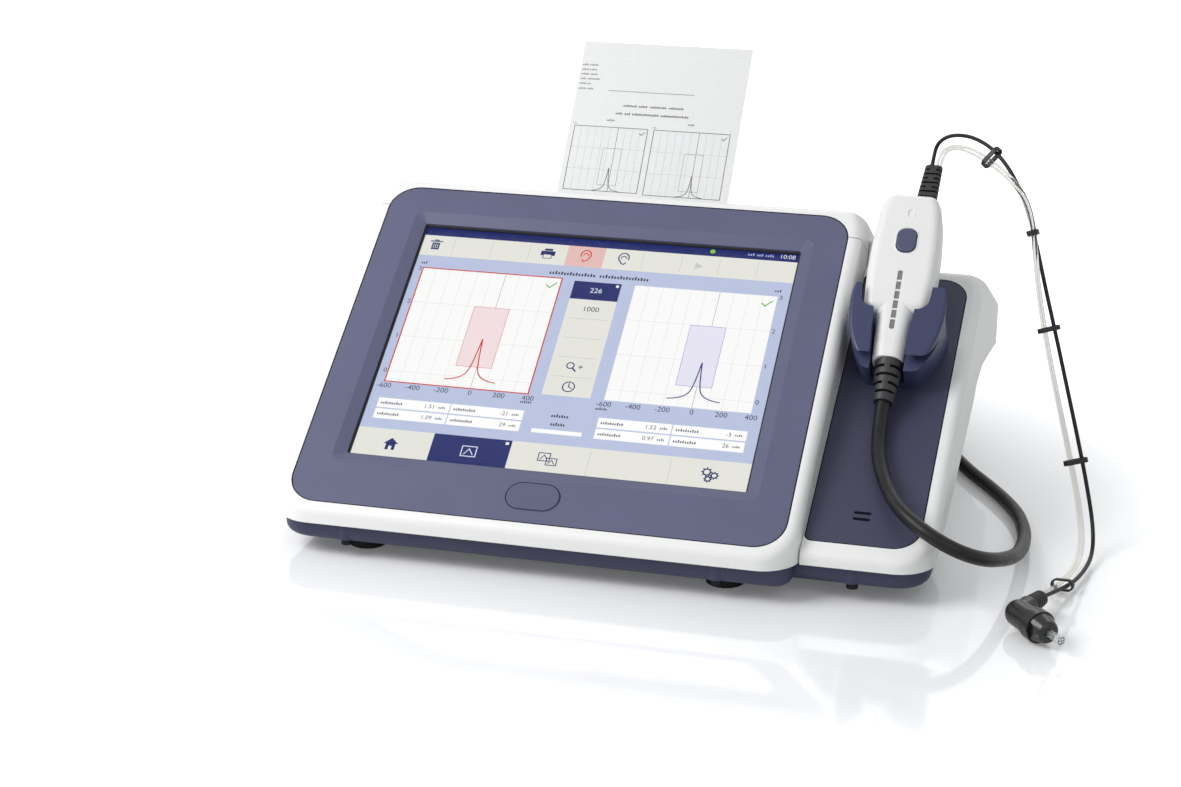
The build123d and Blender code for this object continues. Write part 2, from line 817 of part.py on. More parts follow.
# Display
def display_bezel():
    plate = slab(main_plane, bezel_face(0), -bezel_thick, 0)
    top = plate.faces().sort_by(SortBy.AREA)[-2:]
    face = max(top, key=lambda f: f.center().Z)
    plate = fillet(face.edges(), bezel_edge)
    opening = RectangleRounded(opening_width, opening_height, opening_corner)
    plate = plate - slab(main_plane, opening, -2 * bezel_thick, bezel_thick)
    wide_size = (opening_width + 2 * bevel_reach, opening_height + 2 * bevel_reach)
    wide = RectangleRounded(*wide_size, bevel_corner)
    bevel = loft([main_plane * wide, main_plane.offset(-bevel_depth) * opening], ruled=True)
    plate = plate - bevel
    hole = SlotOverall(button_width + 2 * button_clear, button_height + 2 * button_clear)
    plate = plate - slab(main_plane, Pos(button_u, button_v) * hole, -overrun, overrun)
    bottom = -bezel_thick - gasket_thick - glass_thick - lcd_thick - 2 * lcd_air
    for u in (-boss_u, boss_u):
        for v in (-boss_v, boss_v):
            post = slab(main_plane, Pos(u, v) * Circle(boss_radius), bottom, -bezel_thick / 2)
            plate = plate + post
            hole = Pos(u, v) * Circle(screw_radius + run_gap)
            plate = plate - slab(main_plane, hole, bottom - lap, -bezel_thick)
    for u in (-switch_post_u, switch_post_u):
        post = Pos(button_u + u, button_v) * Circle(boss_radius / 2)
        plate = plate + slab(main_plane, post, switch_board_top(), -bezel_thick / 2)
    return plate


def switch_board_top():
    flange_low = -bezel_thick - fit_gap - flange_thick
    return flange_low - stem_long - button_travel - 2 * run_gap - switch_tall


def screen_gasket():
    outer = Rectangle(glass_width, glass_height)
    inner = Rectangle(opening_width - 2 * gasket_show, opening_height - 2 * gasket_show)
    return slab(main_plane, outer - inner, -bezel_thick - gasket_thick, -bezel_thick)


def touch_glass():
    top = -bezel_thick - gasket_thick
    return slab(main_plane, Rectangle(glass_width, glass_height), top - glass_thick, top)


def lcd_module():
    top = -bezel_thick - gasket_thick - glass_thick - lcd_air
    return slab(main_plane, Rectangle(glass_width, glass_height), top - lcd_thick, top)


def lcd_frame():
    top = -bezel_thick - gasket_thick - glass_thick - lcd_thick - 2 * lcd_air
    plate = RectangleRounded(frame_width, frame_height, bezel_corner / 2)
    sheet = slab(main_plane, plate, top - frame_sheet, top)
    for u in (-boss_u, boss_u):
        for v in (-boss_v, boss_v):
            hole = Pos(u, v) * Circle(screw_radius + run_gap)
            sheet = sheet - slab(main_plane, hole, top - overrun, top + overrun)
    window = Pos(0, 0) * Rectangle(board_width / 3, board_height / 3)
    return sheet - slab(main_plane, window, top - overrun, top + overrun)


def lcd_screws():
    top = -bezel_thick - gasket_thick - glass_thick - lcd_thick - 2 * lcd_air - frame_sheet
    made = []
    for u in (-boss_u, boss_u):
        for v in (-boss_v, boss_v):
            head = slab(main_plane, Pos(u, v) * Circle(screw_head), top - screw_head_tall, top)
            shank = slab(main_plane, Pos(u, v) * Circle(screw_radius), top, top + 2 * bezel_thick)
            made.append(head + shank)
    return made


def board_top():
    return (-bezel_thick - gasket_thick - glass_thick - lcd_thick - 2 * lcd_air - frame_sheet
            - standoff_long)


def board_standoffs():
    made = []
    for u in (-1, 1):
        for v in (-1, 1):
            x = u * (board_width / 2 - standoff_inset)
            y = v * (board_height / 2 - standoff_inset)
            hexagon = Pos(x, y) * RegularPolygon(standoff_radius, 6)
            made.append(slab(main_plane, hexagon, board_top(), board_top() + standoff_long))
    return made


def main_board():
    return slab(main_plane, Rectangle(board_width, board_height), board_top() - board_thick, board_top())


def board_components():
    made = []
    low = board_top() - board_thick
    for u_share, v_share, wide_share, high_share, tall_share in chip_shares:
        chip = Rectangle(board_width * wide_share, board_height * high_share)
        place = Pos(board_width * u_share, board_height * v_share)
        made.append(slab(main_plane, place * chip, low - board_thick * tall_share, low))
    return made


def front_button():
    cap = SlotOverall(button_width, button_height)
    flange = SlotOverall(button_width + 2 * button_flange, button_height + 2 * button_flange)
    under = -bezel_thick - fit_gap
    key = slab(main_plane, Pos(button_u, button_v) * cap, under, button_proud)
    top = max(key.faces(), key=lambda f: f.center().Z)
    key = fillet(top.edges(), bezel_edge)
    key = key + slab(main_plane, Pos(button_u, button_v) * flange, under - flange_thick, under)
    stem = Pos(button_u, button_v) * Circle(stem_radius)
    return key + slab(main_plane, stem, under - flange_thick - stem_long, under)


def button_board():
    low = switch_board_top()
    place = Pos(button_u, button_v)
    board = slab(main_plane, place * Rectangle(switch_board_w, switch_board_h), low - board_thick, low)
    return board + slab(main_plane, place * Rectangle(switch_side, switch_side), low, low + switch_tall)


# Cradle plate, speaker and holder
def cradle_panel():
    plate = slab(cradle_plane, plate_face(0), -plate_thick, 0)
    face = max(plate.faces().sort_by(SortBy.AREA)[-2:], key=lambda f: f.center().Z)
    plate = fillet(face.edges(), bezel_edge)
    for row in (0, 1):
        slit = Pos(slit_u, slit_v - row * slit_pitch) * SlotOverall(slit_long, slit_wide)
        plate = plate - slab(cradle_plane, slit, -overrun, overrun)
    for v in cup_screw_v:
        hole = Pos(handle_x - cradle_x, v) * Circle(screw_radius + fit_gap)
        plate = plate - slab(cradle_plane, hole, -overrun, overrun)
    return plate


def speaker():
    place = Pos(slit_u, speaker_v)
    top = -plate_thick - seam_gap
    low = top - speaker_tall
    ring = Circle(speaker_radius) - Circle(speaker_radius - speaker_rim)
    body = slab(cradle_plane, place * ring, low, top)
    floor = slab(cradle_plane, place * Circle(speaker_radius), low, low + speaker_sheet)
    magnet = slab(cradle_plane, place * Circle(magnet_radius), low - magnet_tall, low)
    return body + floor + magnet


def speaker_cone():
    top = cradle_plane.offset(-plate_thick - seam_gap - cone_sink)
    low = top.offset(-cone_deep)
    place = Pos(slit_u, speaker_v)
    outer = speaker_radius - speaker_rim - run_gap
    dish = loft([low * (place * Circle(magnet_radius)), top * (place * Circle(outer))])
    inner = loft([low.offset(cone_wall / 2) * (place * Circle(magnet_radius - cone_wall)),
                  top.offset(cone_wall / 2) * (place * Circle(outer - cone_wall))])
    return dish - inner


def wide_face(grow):
    """broad part of the handle from the step upwards"""
    span = handle_long - neck_top
    foot = (body_half_low + grow, neck_top - grow)
    waist = (body_half_mid + grow, neck_top + body_s_shares[0] * span)
    bend = (body_half_high + grow, neck_top + body_s_shares[1] * span)
    tip = (body_half_end + grow, handle_long + grow)
    side = ThreePointArc(foot, waist, bend)
    upper = TangentArc(bend, tip, tangent=side % 1)
    rights = [*side.edges(), *upper.edges()]
    lefts = [edge for part in rights for edge in mirror(part, Plane.YZ).edges()]
    caps = [Line((-foot[0], foot[1]), foot), Line(tip, (-tip[0], tip[1]))]
    face = make_face([*rights, *lefts, *caps])
    face = fillet(face.vertices().group_by(Axis.Y)[-1], top_corner + grow)
    return fillet(face.vertices().group_by(Axis.Y)[0], step_corner + grow)


def neck_face(grow, low, high):
    """narrow lower part of the handle"""
    low_half = neck_half_low + grow
    high_half = neck_half_high + grow
    points = [(-low_half, low), (low_half, low), (high_half, high), (-high_half, high)]
    return make_face(Polyline(*points, close=True))


def handle_form(grow, front):
    """whole form of the handle, grown by a gap or shrunk by a wall"""
    wide = slab(handle_plane, wide_face(grow), -body_deep - grow, front)
    ends = wide.faces().sort_by(SortBy.AREA)[-2:]
    wide = fillet([edge for face in ends for edge in face.edges()], body_round + grow)
    neck = slab(handle_plane, neck_face(grow, -grow, neck_top + 2 * wall), -neck_deep - grow, front)
    longs = [edge for edge in neck.edges() if edge.length > neck_top]
    return wide + fillet(longs, neck_round + grow)


def over_split(lift):
    size = 10 * overrun
    return handle_plane.offset(lift - split_deep) * (Pos(0, 0, size / 2) * Box(size, size, size))


def key_hole(grow, low, high):
    face = RectangleRounded(key_width + 2 * grow, key_height + 2 * grow, key_corner + grow)
    return slab(handle_plane, Pos(key_u, key_s) * face, low, high)


def lamp_places():
    tall = (lamp_high - lamp_low - (lamp_count - 1) * lamp_space) / lamp_count
    return tall, [lamp_low + tall / 2 + k * (tall + lamp_space) for k in range(lamp_count)]


handle_screw_places = [(-grip_screw_u, grip_screw_low), (grip_screw_u, grip_screw_low), (0, grip_screw_high)]


def boot_socket(grow):
    """holes for both strain reliefs in the ends of the handle"""
    deep = handle_wall + 2 * lap
    low = Pos(boot_u, -lap, boot_n) * (Rot(-90, 0, 0) * extrude(Circle(boot_neck + grow), deep))
    start = handle_long - handle_wall - lap
    face = RectangleRounded(lead_neck + 2 * grow, lead_neck + 2 * grow, lead_neck / 3)
    high = Pos(lead_boot_u, start, lead_boot_n) * (Rot(-90, 0, 0) * extrude(face, deep))
    return handle_plane * low + handle_plane * high


def handle_shells():
    body = handle_form(0, 0) - handle_form(-handle_wall, -handle_wall)
    body = body - boot_socket(run_gap)
    front = body & over_split(0)
    rear = body - over_split(-seam_gap / 2)
    for u, s in handle_screw_places:
        place = Pos(u, s)
        post = place * Circle(grip_post_radius)
        pilot = place * Circle(grip_screw_radius + run_gap)
        front = front + slab(handle_plane, post, -split_deep, -handle_wall / 2)
        front = front - slab(handle_plane, pilot, -split_deep - lap, -2 * handle_wall)
        rear = rear + slab(handle_plane, post, -body_deep + handle_wall / 2, -split_deep - seam_gap / 2)
        rear = rear - slab(handle_plane, place * Circle(grip_screw_radius + fit_gap / 2), -overrun, 0)
        sink = place * Circle(grip_head_radius + run_gap)
        rear = rear - slab(handle_plane, sink, -overrun, -body_deep + grip_head_sink)
    front = front - key_hole(button_clear, -overrun, overrun)
    tall, places = lamp_places()
    for s in places:
        window = Pos(0, s) * Rectangle(lamp_width, tall)
        front = front - slab(handle_plane, window, -2 * handle_wall, lap)
    mark = Pos(key_u, mark_s) * Ellipse(mark_width / 2, mark_height / 2)
    front = front - slab(handle_plane, mark, -mark_deep, lap)
    for s in (handle_board_low + handle_rib_in, handle_board_high - handle_rib_in - 2 * handle_wall):
        rib = Pos(0, s + handle_wall) * Rectangle(handle_board_w, handle_wall)
        rear = rear + slab(handle_plane, rib, -body_deep + handle_wall / 2, -handle_board_n - board_thick)
    return front, rear


def handle_screws():
    made = []
    for u, s in handle_screw_places:
        seat = -body_deep + grip_head_sink
        head = slab(handle_plane, Pos(u, s) * Circle(grip_head_radius), seat - screw_head_tall, seat)
        shank = slab(handle_plane, Pos(u, s) * Circle(grip_screw_radius), seat, seat + grip_screw_long)
        made.append(head + shank)
    return made


def handle_board():
    middle = (handle_board_low + handle_board_high) / 2
    face = Pos(0, middle) * Rectangle(handle_board_w, handle_board_high - handle_board_low)
    board = slab(handle_plane, face, -handle_board_n - board_thick, -handle_board_n)
    switch = Pos(key_u, key_s) * Rectangle(switch_side, switch_side)
    return board + slab(handle_plane, switch, -handle_board_n, -handle_board_n + key_switch_tall)


def handle_button():
    under = -handle_wall - seam_gap
    cap = key_hole(0, under, key_proud)
    top = max(cap.faces(), key=lambda f: f.center().Z)
    cap = fillet(top.edges(), bezel_edge)
    cap = cap + key_hole(key_flange, under - key_flange, under)
    stem_end = -handle_board_n + key_switch_tall + key_travel + 2 * run_gap
    stem = slab(handle_plane, Pos(key_u, key_s) * Circle(stem_radius), stem_end, under)
    return cap + stem


def handle_lights():
    tall, places = lamp_places()
    flange = Rectangle(lamp_width + 2 * lamp_flange, lamp_high - lamp_low + 2 * lamp_flange)
    flange = Pos(0, (lamp_low + lamp_high) / 2) * flange
    strip = slab(handle_plane, flange, -handle_wall - lamp_sheet, -handle_wall)
    for s in places:
        lens = Pos(0, s) * Rectangle(lamp_width - 2 * run_gap, tall - 2 * run_gap)
        strip = strip + slab(handle_plane, lens, -handle_wall, -mark_deep)
    return strip


def boot_end_plane(u, s, n):
    """plane square to the handle's axis, facing the bottom end"""
    return Plane(origin=on_handle(u, s, n), x_dir=(1, 0, 0), z_dir=-handle_plane.y_dir)


def lower_boot():
    top = boot_end_plane(boot_u, 0, boot_n)
    long = -boot_low
    body = loft([top * Circle(boot_radius_top), top.offset(long) * Circle(boot_radius_end)])
    pitch = long / (boot_slots + 1)
    for k in range(boot_slots):
        low = pitch * (k + 1) - boot_slot_tall / 2
        taper = (boot_radius_top - boot_radius_end) * k / (2 * boot_slots)
        ring = Circle(2 * boot_radius_top) - Circle(boot_radius_end - taper - boot_core_in)
        bridge = Rectangle(4 * boot_radius_top, boot_bridge)
        ring = ring - (bridge if k % 2 else Rot(0, 0, 90) * bridge)
        body = body - extrude(top.offset(low) * ring, boot_slot_tall)
    inner = top.offset(-handle_wall - seam_gap)
    neck = extrude(inner * Circle(boot_neck), handle_wall + seam_gap + lap)
    flange = extrude(inner.offset(-boot_flange) * Circle(boot_neck + boot_slot_tall / 2), boot_flange)
    return body + neck + flange


def upper_boot():
    low = boot_end_plane(lead_boot_u, handle_long, lead_boot_n)
    long = lead_boot_top - handle_long
    wide = RectangleRounded(lead_boot_wide, lead_boot_deep_low, lead_boot_deep / 3)
    small = RectangleRounded(lead_boot_narrow, lead_boot_deep_high, lead_boot_deep / 3)
    body = loft([low * wide, low.offset(-long) * (Pos(lead_boot_aside, 0) * small)])
    pitch = long / (lead_boot_slots + 1)
    for k in range(lead_boot_slots):
        start = -pitch * (k + 1) - lead_slot_tall / 2
        share = (k + 1) / (lead_boot_slots + 1)
        width = lead_boot_wide + (lead_boot_narrow - lead_boot_wide) * share - 2 * lead_slot_deep
        ring = Circle(2 * lead_boot_wide) - Rectangle(width, lead_boot_deep / 2)
        if k % 2:
            ring = ring - Rectangle(lead_slot_bridge, 4 * lead_boot_wide)
        body = body - extrude(low.offset(start) * (Pos(lead_boot_aside * share, 0) * ring), lead_slot_tall)
    nub = extrude(boot_end_plane(lead_boot_u, lead_boot_top, lead_boot_n) * Circle(lead_nub), -lead_nub)
    stub = low.offset(handle_wall + lap) * RectangleRounded(lead_neck, lead_neck, lead_neck / 3)
    return body + nub + extrude(stub, -handle_wall - 2 * lap)


# Holder of the handle, standing on the cradle plate
def cup_profile(grow):
    """outline of the holder in the handle's own axes"""
    right = [(cup_half_low + grow, cup_low - grow), (cup_half_mid + grow, cup_mid),
             (cup_half_high + grow, cup_high), (cup_half_end + grow, cup_end + grow)]
    left = [(-x, y) for x, y in reversed(right)]
    lines = [Spline(*right), Line(right[-1], left[0]), Spline(*left), Line(left[-1], right[0])]
    face = make_face(lines)
    face = fillet(face.vertices().group_by(Axis.Y)[0], cup_round + grow)
    return Pos(cup_aside, 0) * fillet(face.vertices().group_by(Axis.Y)[-1], cup_top_round + grow)


def handle_side(points, bow=()):
    """prism across the handle from points, and a smooth bow, along its axis and outwards"""
    corners = [bow[-1], *points, bow[0]] if bow else [*points, points[0]]
    face = make_face([Polyline(*corners), *([Spline(*bow)] if bow else [])])
    plane = Plane(origin=on_handle(-overrun, 0, 0), x_dir=handle_plane.y_dir, z_dir=(-1, 0, 0))
    return Pos(2 * overrun, 0, 0) * extrude(plane * face, 2 * overrun)


def above_cradle(lift):
    size = 10 * overrun
    return cradle_plane.offset(lift) * (Pos(0, 0, size / 2) * Box(size, size, size))


def cradle_holder():
    body = slab(handle_plane, cup_profile(0), -2 * overrun, cup_front)
    outer = body.faces().sort_by(Axis(handle_plane.origin, handle_plane.z_dir))[-1]
    body = fillet(outer.edges(), cup_edge) & above_cradle(0)
    far = 2 * overrun
    wings = [(cup_wing_top - lap, cup_front + lap), (cup_wing_top, cup_ear_front / 2),
             (cup_end - cup_ear_in, cup_ear_slope), (cup_end + cup_ear_out, cup_ear_end),
             (far, cup_ear_end), (far, far), (cup_wing_top - lap, far)]
    chin = handle_side([(-far, cup_chin_curve[-1][1]), (-far, cup_chin - far)], cup_chin_curve)
    foot = [(-far, cup_chin + cup_foot_step), (cup_low, cup_chin + cup_foot_step),
            (cup_foot_step, -neck_deep - 2 * wall - cup_foot_step), (cup_foot_step, -far), (-far, -far)]
    body = body - handle_side(wings) - chin - handle_side(foot)
    flat = Pos(0, -overrun / 2) * Rectangle(2 * (neck_half_low + cup_gap), overrun)
    neck = neck_face(cup_gap, -lap, neck_top + lap)
    body = body - slab(handle_plane, neck, -neck_deep - cup_gap, far)
    body = body - slab(handle_plane, flat, -neck_deep - cup_gap, far)
    body = body - slab(handle_plane, wide_face(cup_gap), -body_deep - cup_gap, far)
    hollow = cup_profile(-cup_wall) & (Pos(0, neck_top + 2 * wall + far) * Rectangle(2 * far, 2 * far))
    hollow = slab(handle_plane, hollow, -far, -body_deep - cup_gap - cup_wall)
    for v in cup_screw_v:
        post = Pos(handle_x - cradle_x, v) * Circle(boss_radius + post_wall)
        hollow = hollow - slab(cradle_plane, post, -lap, far)
    body = body - hollow
    for v in cup_screw_v:
        pilot = Pos(handle_x - cradle_x, v) * Circle(screw_radius + run_gap)
        body = body - slab(cradle_plane, pilot, -lap, cup_screw_long + fit_gap)
    return body


def holder_screws():
    made = []
    for v in cup_screw_v:
        place = Pos(handle_x - cradle_x, v)
        head = slab(cradle_plane, place * Circle(screw_head), -plate_thick - screw_head_tall, -plate_thick)
        made.append(head + slab(cradle_plane, place * Circle(screw_radius), -plate_thick, cup_screw_long))
    return made


# Pump, valve and hose in the base
def seat_level():
    return tray_low + tray_floor + pump_seat


def pump():
    wide, deep, tall = pump_size
    low = seat_level()
    back = pump_y + deep / 2
    z = low + tall / 2
    body = block(pump_x - wide / 2, pump_x + wide / 2, pump_y - deep / 2, back, low, low + tall)
    return body + rod((pump_x, back, z), (pump_x, back + nipple_long, z), nipple_radius)


def pump_motor():
    wide, deep, tall = pump_size
    y = pump_y - deep / 2
    z = seat_level() + tall / 2
    front = y - pump_motor_long
    body = rod((pump_x, y, z), (pump_x, front, z), tall / 2)
    return body + rod((pump_x, front, z), (pump_x, front - pump_shaft_long, z), tall / 6)


def air_valve():
    wide, deep, tall = valve_size
    low = seat_level()
    front = valve_y - deep / 2
    body = block(pump_x - wide / 2, pump_x + wide / 2, front, valve_y + deep / 2, low, low + tall)
    z = low + pump_size[2] / 2
    return body + rod((pump_x, front, z), (pump_x, front - nipple_long, z), nipple_radius)


def inner_air_hose():
    z = seat_level() + pump_size[2] / 2
    start = (pump_x, pump_y + pump_size[1] / 2, z)
    end = (pump_x, valve_y - valve_size[1] / 2, z)
    return rod(start, end, hose_radius) - rod(start, end, nipple_radius + run_gap)


# Rear connectors
def port_face():
    return recess_y - wall


def connector_plate():
    inner = port_face()
    plate = block(port_left - port_margin, port_right + port_margin, inner - port_plate_thick, inner,
                  tray_top + fit_gap, port_high + port_margin)
    mouth = rod((power_x, inner - overrun, port_z), (power_x, inner + overrun, port_z),
                power_radius + power_ring + run_gap)
    plate = plate - mouth
    for x in usb_x:
        half = usb_opening[0] / 2 + usb_shell + run_gap
        tall = usb_opening[1] / 2 + usb_shell + run_gap
        depth = (inner - overrun, inner + overrun)
        plate = plate - block(x - half, x + half, *depth, port_z - tall, port_z + tall)
    for x in audio_x:
        plate = plate - rod((x, inner - overrun, port_z), (x, inner + overrun, port_z), audio_ring + run_gap)
    start = (probe_port_x, inner - overrun, probe_port_z)
    end = (probe_port_x, inner + overrun, probe_port_z)
    return plate - rod(start, end, probe_port_radius + run_gap)


def port_box(x, wide, tall, z):
    back = port_face() - port_plate_thick
    return block(x - wide / 2, x + wide / 2, back - port_deep, back, z - tall / 2, z + tall / 2)


def power_jack():
    front = port_face() + ring_proud
    body = port_box(power_x, *power_body, port_z)
    back = port_face() - port_plate_thick
    body = body + rod((power_x, back - lap, port_z), (power_x, front, port_z), power_radius + power_ring)
    floor = front - power_deep
    body = body - rod((power_x, floor, port_z), (power_x, front + lap, port_z), power_radius)
    return body + rod((power_x, floor - lap, port_z), (power_x, front - power_pin_in, port_z), power_pin)


def usb_port(x):
    back = port_face() - port_plate_thick - port_deep
    front = port_face() + ring_proud
    wide, tall = usb_opening[0] / 2, usb_opening[1] / 2
    outer, high = wide + usb_shell, tall + usb_shell
    body = block(x - outer, x + outer, back, front, port_z - high, port_z + high)
    body = body - block(x - wide, x + wide, back + usb_back, front + lap, port_z - tall, port_z + tall)
    tongue = block(x - usb_tongue[0] / 2, x + usb_tongue[0] / 2, back + usb_back / 2,
                   front - usb_tongue_in, port_z, port_z + usb_tongue[1])
    return body + tongue


def audio_jack(x):
    front = port_face() + ring_proud
    body = port_box(x, *audio_body, port_z)
    back = port_face() - port_plate_thick
    body = body + rod((x, back - lap, port_z), (x, front, port_z), audio_ring)
    return body - rod((x, front - port_deep, port_z), (x, front + lap, port_z), audio_radius)


def probe_socket():
    back = port_face() - port_plate_thick
    front = port_face() + ring_proud
    x, z = probe_port_x, probe_port_z
    body = rod((x, back - port_deep, z), (x, front, z), probe_port_radius)
    return body - rod((x, front - probe_port_deep, z), (x, front + lap, z), probe_port_bore)


def connector_board():
    back = port_face() - port_plate_thick - port_deep
    left, right = port_left + port_board_in, port_right - port_board_in
    return block(left, right, back - board_thick, back, tray_low + tray_floor, port_board_high)


# Strip printer
def strip_slab(low, high, aside_low, aside_high, x_low, x_high):
    points = [strip_point(low, aside_low), strip_point(high, aside_low),
              strip_point(high, aside_high), strip_point(low, aside_high)]
    return side_prism(points, x_low, x_high)


def platen_centre():
    return strip_point(-nip_depth, paper_thick / 2 + run_gap + platen_radius)


def across(y, z, x_low, x_high, radius):
    return rod((x_low, y, z), (x_high, y, z), radius)


def pinion_centre():
    y, z = platen_centre()
    span = gear_module * (gear_teeth + pinion_teeth) / 2
    turn = math.radians(pinion_turn)
    return (y + span * math.cos(turn), z + span * math.sin(turn))


def spur(teeth, centre, x_low, first_turn, bore):
    """spur wheel with straight-sided teeth; one tooth points to first_turn"""
    pitch = gear_module * teeth / 2
    tip = pitch + gear_tip_share * gear_module
    root = pitch - gear_root_share * gear_module
    step = 360 / teeth
    flank = [(root, tooth_root_share), (pitch, tooth_pitch_share), (tip, tooth_tip_share)]
    tooth = [(radius, -share) for radius, share in flank] + flank[::-1]
    points = []
    for k in range(teeth):
        middle = first_turn + k * step
        for radius, share in tooth:
            turn = math.radians(middle + share * step / 2)
            points.append((centre[0] + radius * math.cos(turn), centre[1] + radius * math.sin(turn)))
    wheel = side_prism(points, x_low, x_low + gear_wide)
    return wheel - across(*centre, x_low - lap, x_low + gear_wide + lap, bore)


cheek_left = paper_x - paper_width / 2 - cheek_gap
cheek_right = paper_x + paper_width / 2 + cheek_gap
gear_low = cheek_right + cheek_thick + seam_gap


def cheek_profile():
    py, pz = platen_centre()
    reach = roll_radius + bay_clear + bay_wall
    top = pz + platen_radius * cheek_top_share
    low = roll_z - reach + bay_wall
    return [(py - platen_radius - bay_wall, pz - platen_radius), (py - platen_radius, top),
            (py + platen_radius, top), (roll_y + reach * cheek_back_share, roll_z + roll_radius / 2),
            (roll_y + reach, roll_z), (roll_y + reach, roll_z - reach / 2), (roll_y + reach / 2, low),
            (roll_y - reach / 2, low), (roll_y - reach, roll_z - reach / 2)]


def paper_bay():
    """trough and cheeks that hold the roll, the platen and the feed motor"""
    inner = roll_radius + bay_clear
    ring = across(roll_y, roll_z, cheek_left, cheek_right, inner + bay_wall)
    ring = ring - across(roll_y, roll_z, cheek_left - lap, cheek_right + lap, inner)
    ring = ring & block(cheek_left, cheek_right, 0, rear_y, 0, roll_z - inner * trough_share)
    body = ring
    for low in (cheek_left - cheek_thick, cheek_right):
        body = body + side_prism(cheek_profile(), low, low + cheek_thick)
    py, pz = platen_centre()
    body = body - across(py, pz, -overrun * 2, overrun * 2, shaft_radius + run_gap)
    my, mz = pinion_centre()
    body = body - across(my, mz, cheek_right - lap, overrun * 2, motor_shaft + fit_gap)
    far = 2 * overrun
    body = body - across(roll_y, roll_z, -far, far, spigot_radius + run_gap)
    slot = block(-far, far, roll_y - spigot_radius - run_gap, roll_y + spigot_radius + run_gap, roll_z, far)
    body = body - slot
    drop = math.sqrt((inner + bay_wall / 2) ** 2 - leg_reach ** 2)
    for x in (cheek_left + 2 * leg_half, cheek_right - 2 * leg_half):
        for y in (roll_y - leg_reach, roll_y + leg_reach):
            body = body + block(x - leg_half, x + leg_half, y - leg_half / 2, y + leg_half / 2,
                                tray_low + tray_floor, roll_z - drop)
    return body


def platen_roller():
    y, z = platen_centre()
    long = paper_width + 2 * (cheek_gap - fit_gap)
    body = across(y, z, paper_x - long / 2, paper_x + long / 2, platen_radius)
    return body + across(y, z, cheek_left - cheek_thick, gear_low + gear_wide, shaft_radius)


def platen_gear():
    return spur(gear_teeth, platen_centre(), gear_low, pinion_turn, shaft_radius)


def feed_pinion():
    half_step = 180 / pinion_teeth
    wheel = spur(pinion_teeth, pinion_centre(), gear_low, pinion_turn + 180 + half_step, motor_shaft / 2)
    return wheel + across(*pinion_centre(), cheek_right - motor_long / 2, gear_low + gear_wide, motor_shaft)


def feed_motor():
    y, z = pinion_centre()
    body = across(y, z, cheek_right - motor_long, cheek_right, motor_radius)
    deep = cheek_right - motor_long / 2 - lap
    return body - across(y, z, deep, cheek_right + lap, motor_shaft + run_gap)


def thermal_head():
    face = -paper_thick / 2 - run_gap
    low = -nip_depth - head_below
    high = -nip_depth + head_above
    half = paper_width / 2
    return strip_slab(low, high, face - head_thick, face, paper_x - half, paper_x + half)


def head_bar():
    face = -paper_thick / 2 - run_gap - head_thick
    low = -nip_depth - head_below * head_bar_share
    return strip_slab(low, low + head_below / 2, face - head_bar_thick, face, cheek_left, cheek_right)


def tear_bar():
    low = -slot_open / 2
    left, right = paper_x - paper_width / 2, paper_x + paper_width / 2
    return strip_slab(-2 * wall, -seam_gap, low, low + tear_thick, left, right)


def roll_spindle():
    body = across(roll_y, roll_z, cheek_left + seam_gap, cheek_right - seam_gap, spindle_radius)
    return body + across(roll_y, roll_z, cheek_left - cheek_thick, cheek_right + cheek_thick, spigot_radius)


def paper_roll():
    low = paper_x - paper_width / 2
    high = paper_x + paper_width / 2
    body = across(roll_y, roll_z, low, high, roll_radius)
    body = body - across(roll_y, roll_z, low - lap, high + lap, core_radius)
    core = across(roll_y, roll_z, low, high, core_radius)
    return body + (core - across(roll_y, roll_z, low - lap, high + lap, spindle_radius))


def at(y, z, radius, turn):
    return (y + radius * math.cos(turn), z + radius * math.sin(turn))


def paper_web():
    """paper from the roll round the platen to the print line"""
    py, pz = platen_centre()
    wrap = platen_radius + run_gap
    start = roll_radius + run_gap
    dy, dz = py - roll_y, pz - roll_z
    between = math.hypot(dy, dz)
    lean = math.atan2(dz, dy) + math.acos((start - wrap) / between)
    nip = math.radians(paper_slope) + math.pi / 2
    middle = (lean + nip) / 2
    outer = wrap + paper_thick
    lines = [
        Line(at(roll_y, roll_z, start, lean), at(py, pz, wrap, lean)),
        ThreePointArc(at(py, pz, wrap, lean), at(py, pz, wrap, middle), at(py, pz, wrap, nip)),
        Line(at(py, pz, wrap, nip), at(py, pz, outer, nip)),
        ThreePointArc(at(py, pz, outer, nip), at(py, pz, outer, middle), at(py, pz, outer, lean)),
        Line(at(py, pz, outer, lean), at(roll_y, roll_z, start + paper_thick, lean)),
        Line(at(roll_y, roll_z, start + paper_thick, lean), at(roll_y, roll_z, start, lean))]
    face = make_face(lines)
    low = paper_x - paper_width / 2
    return extrude(Plane.YZ.offset(low) * face, paper_width)


def paper_strip():
    half = paper_thick / 2
    left, right = paper_x - paper_width / 2, paper_x + paper_width / 2
    return strip_slab(-nip_depth, paper_visible, -half, half, left, right)


def hinge_marks():
    """ends of the hinge knuckles from left to right, first one on the housing"""
    count = 2 * lid_knuckles + 1
    step = (lid_right - lid_left) / count
    return [lid_left + k * step for k in range(count + 1)]


def knuckle(low, high, on_lid):
    body = across(lid_hinge_y, lid_hinge_z, low, high, lid_knuckle_radius)
    web = block(low, high, rear_y - wall, rear_y, lid_hinge_z, lid_hinge_z + 2 * lid_knuckle_radius)
    if not on_lid:
        web = block(low, high, rear_y - wall, rear_y, lid_hinge_z - 3 * lid_knuckle_radius, lid_hinge_z)
    return body + web


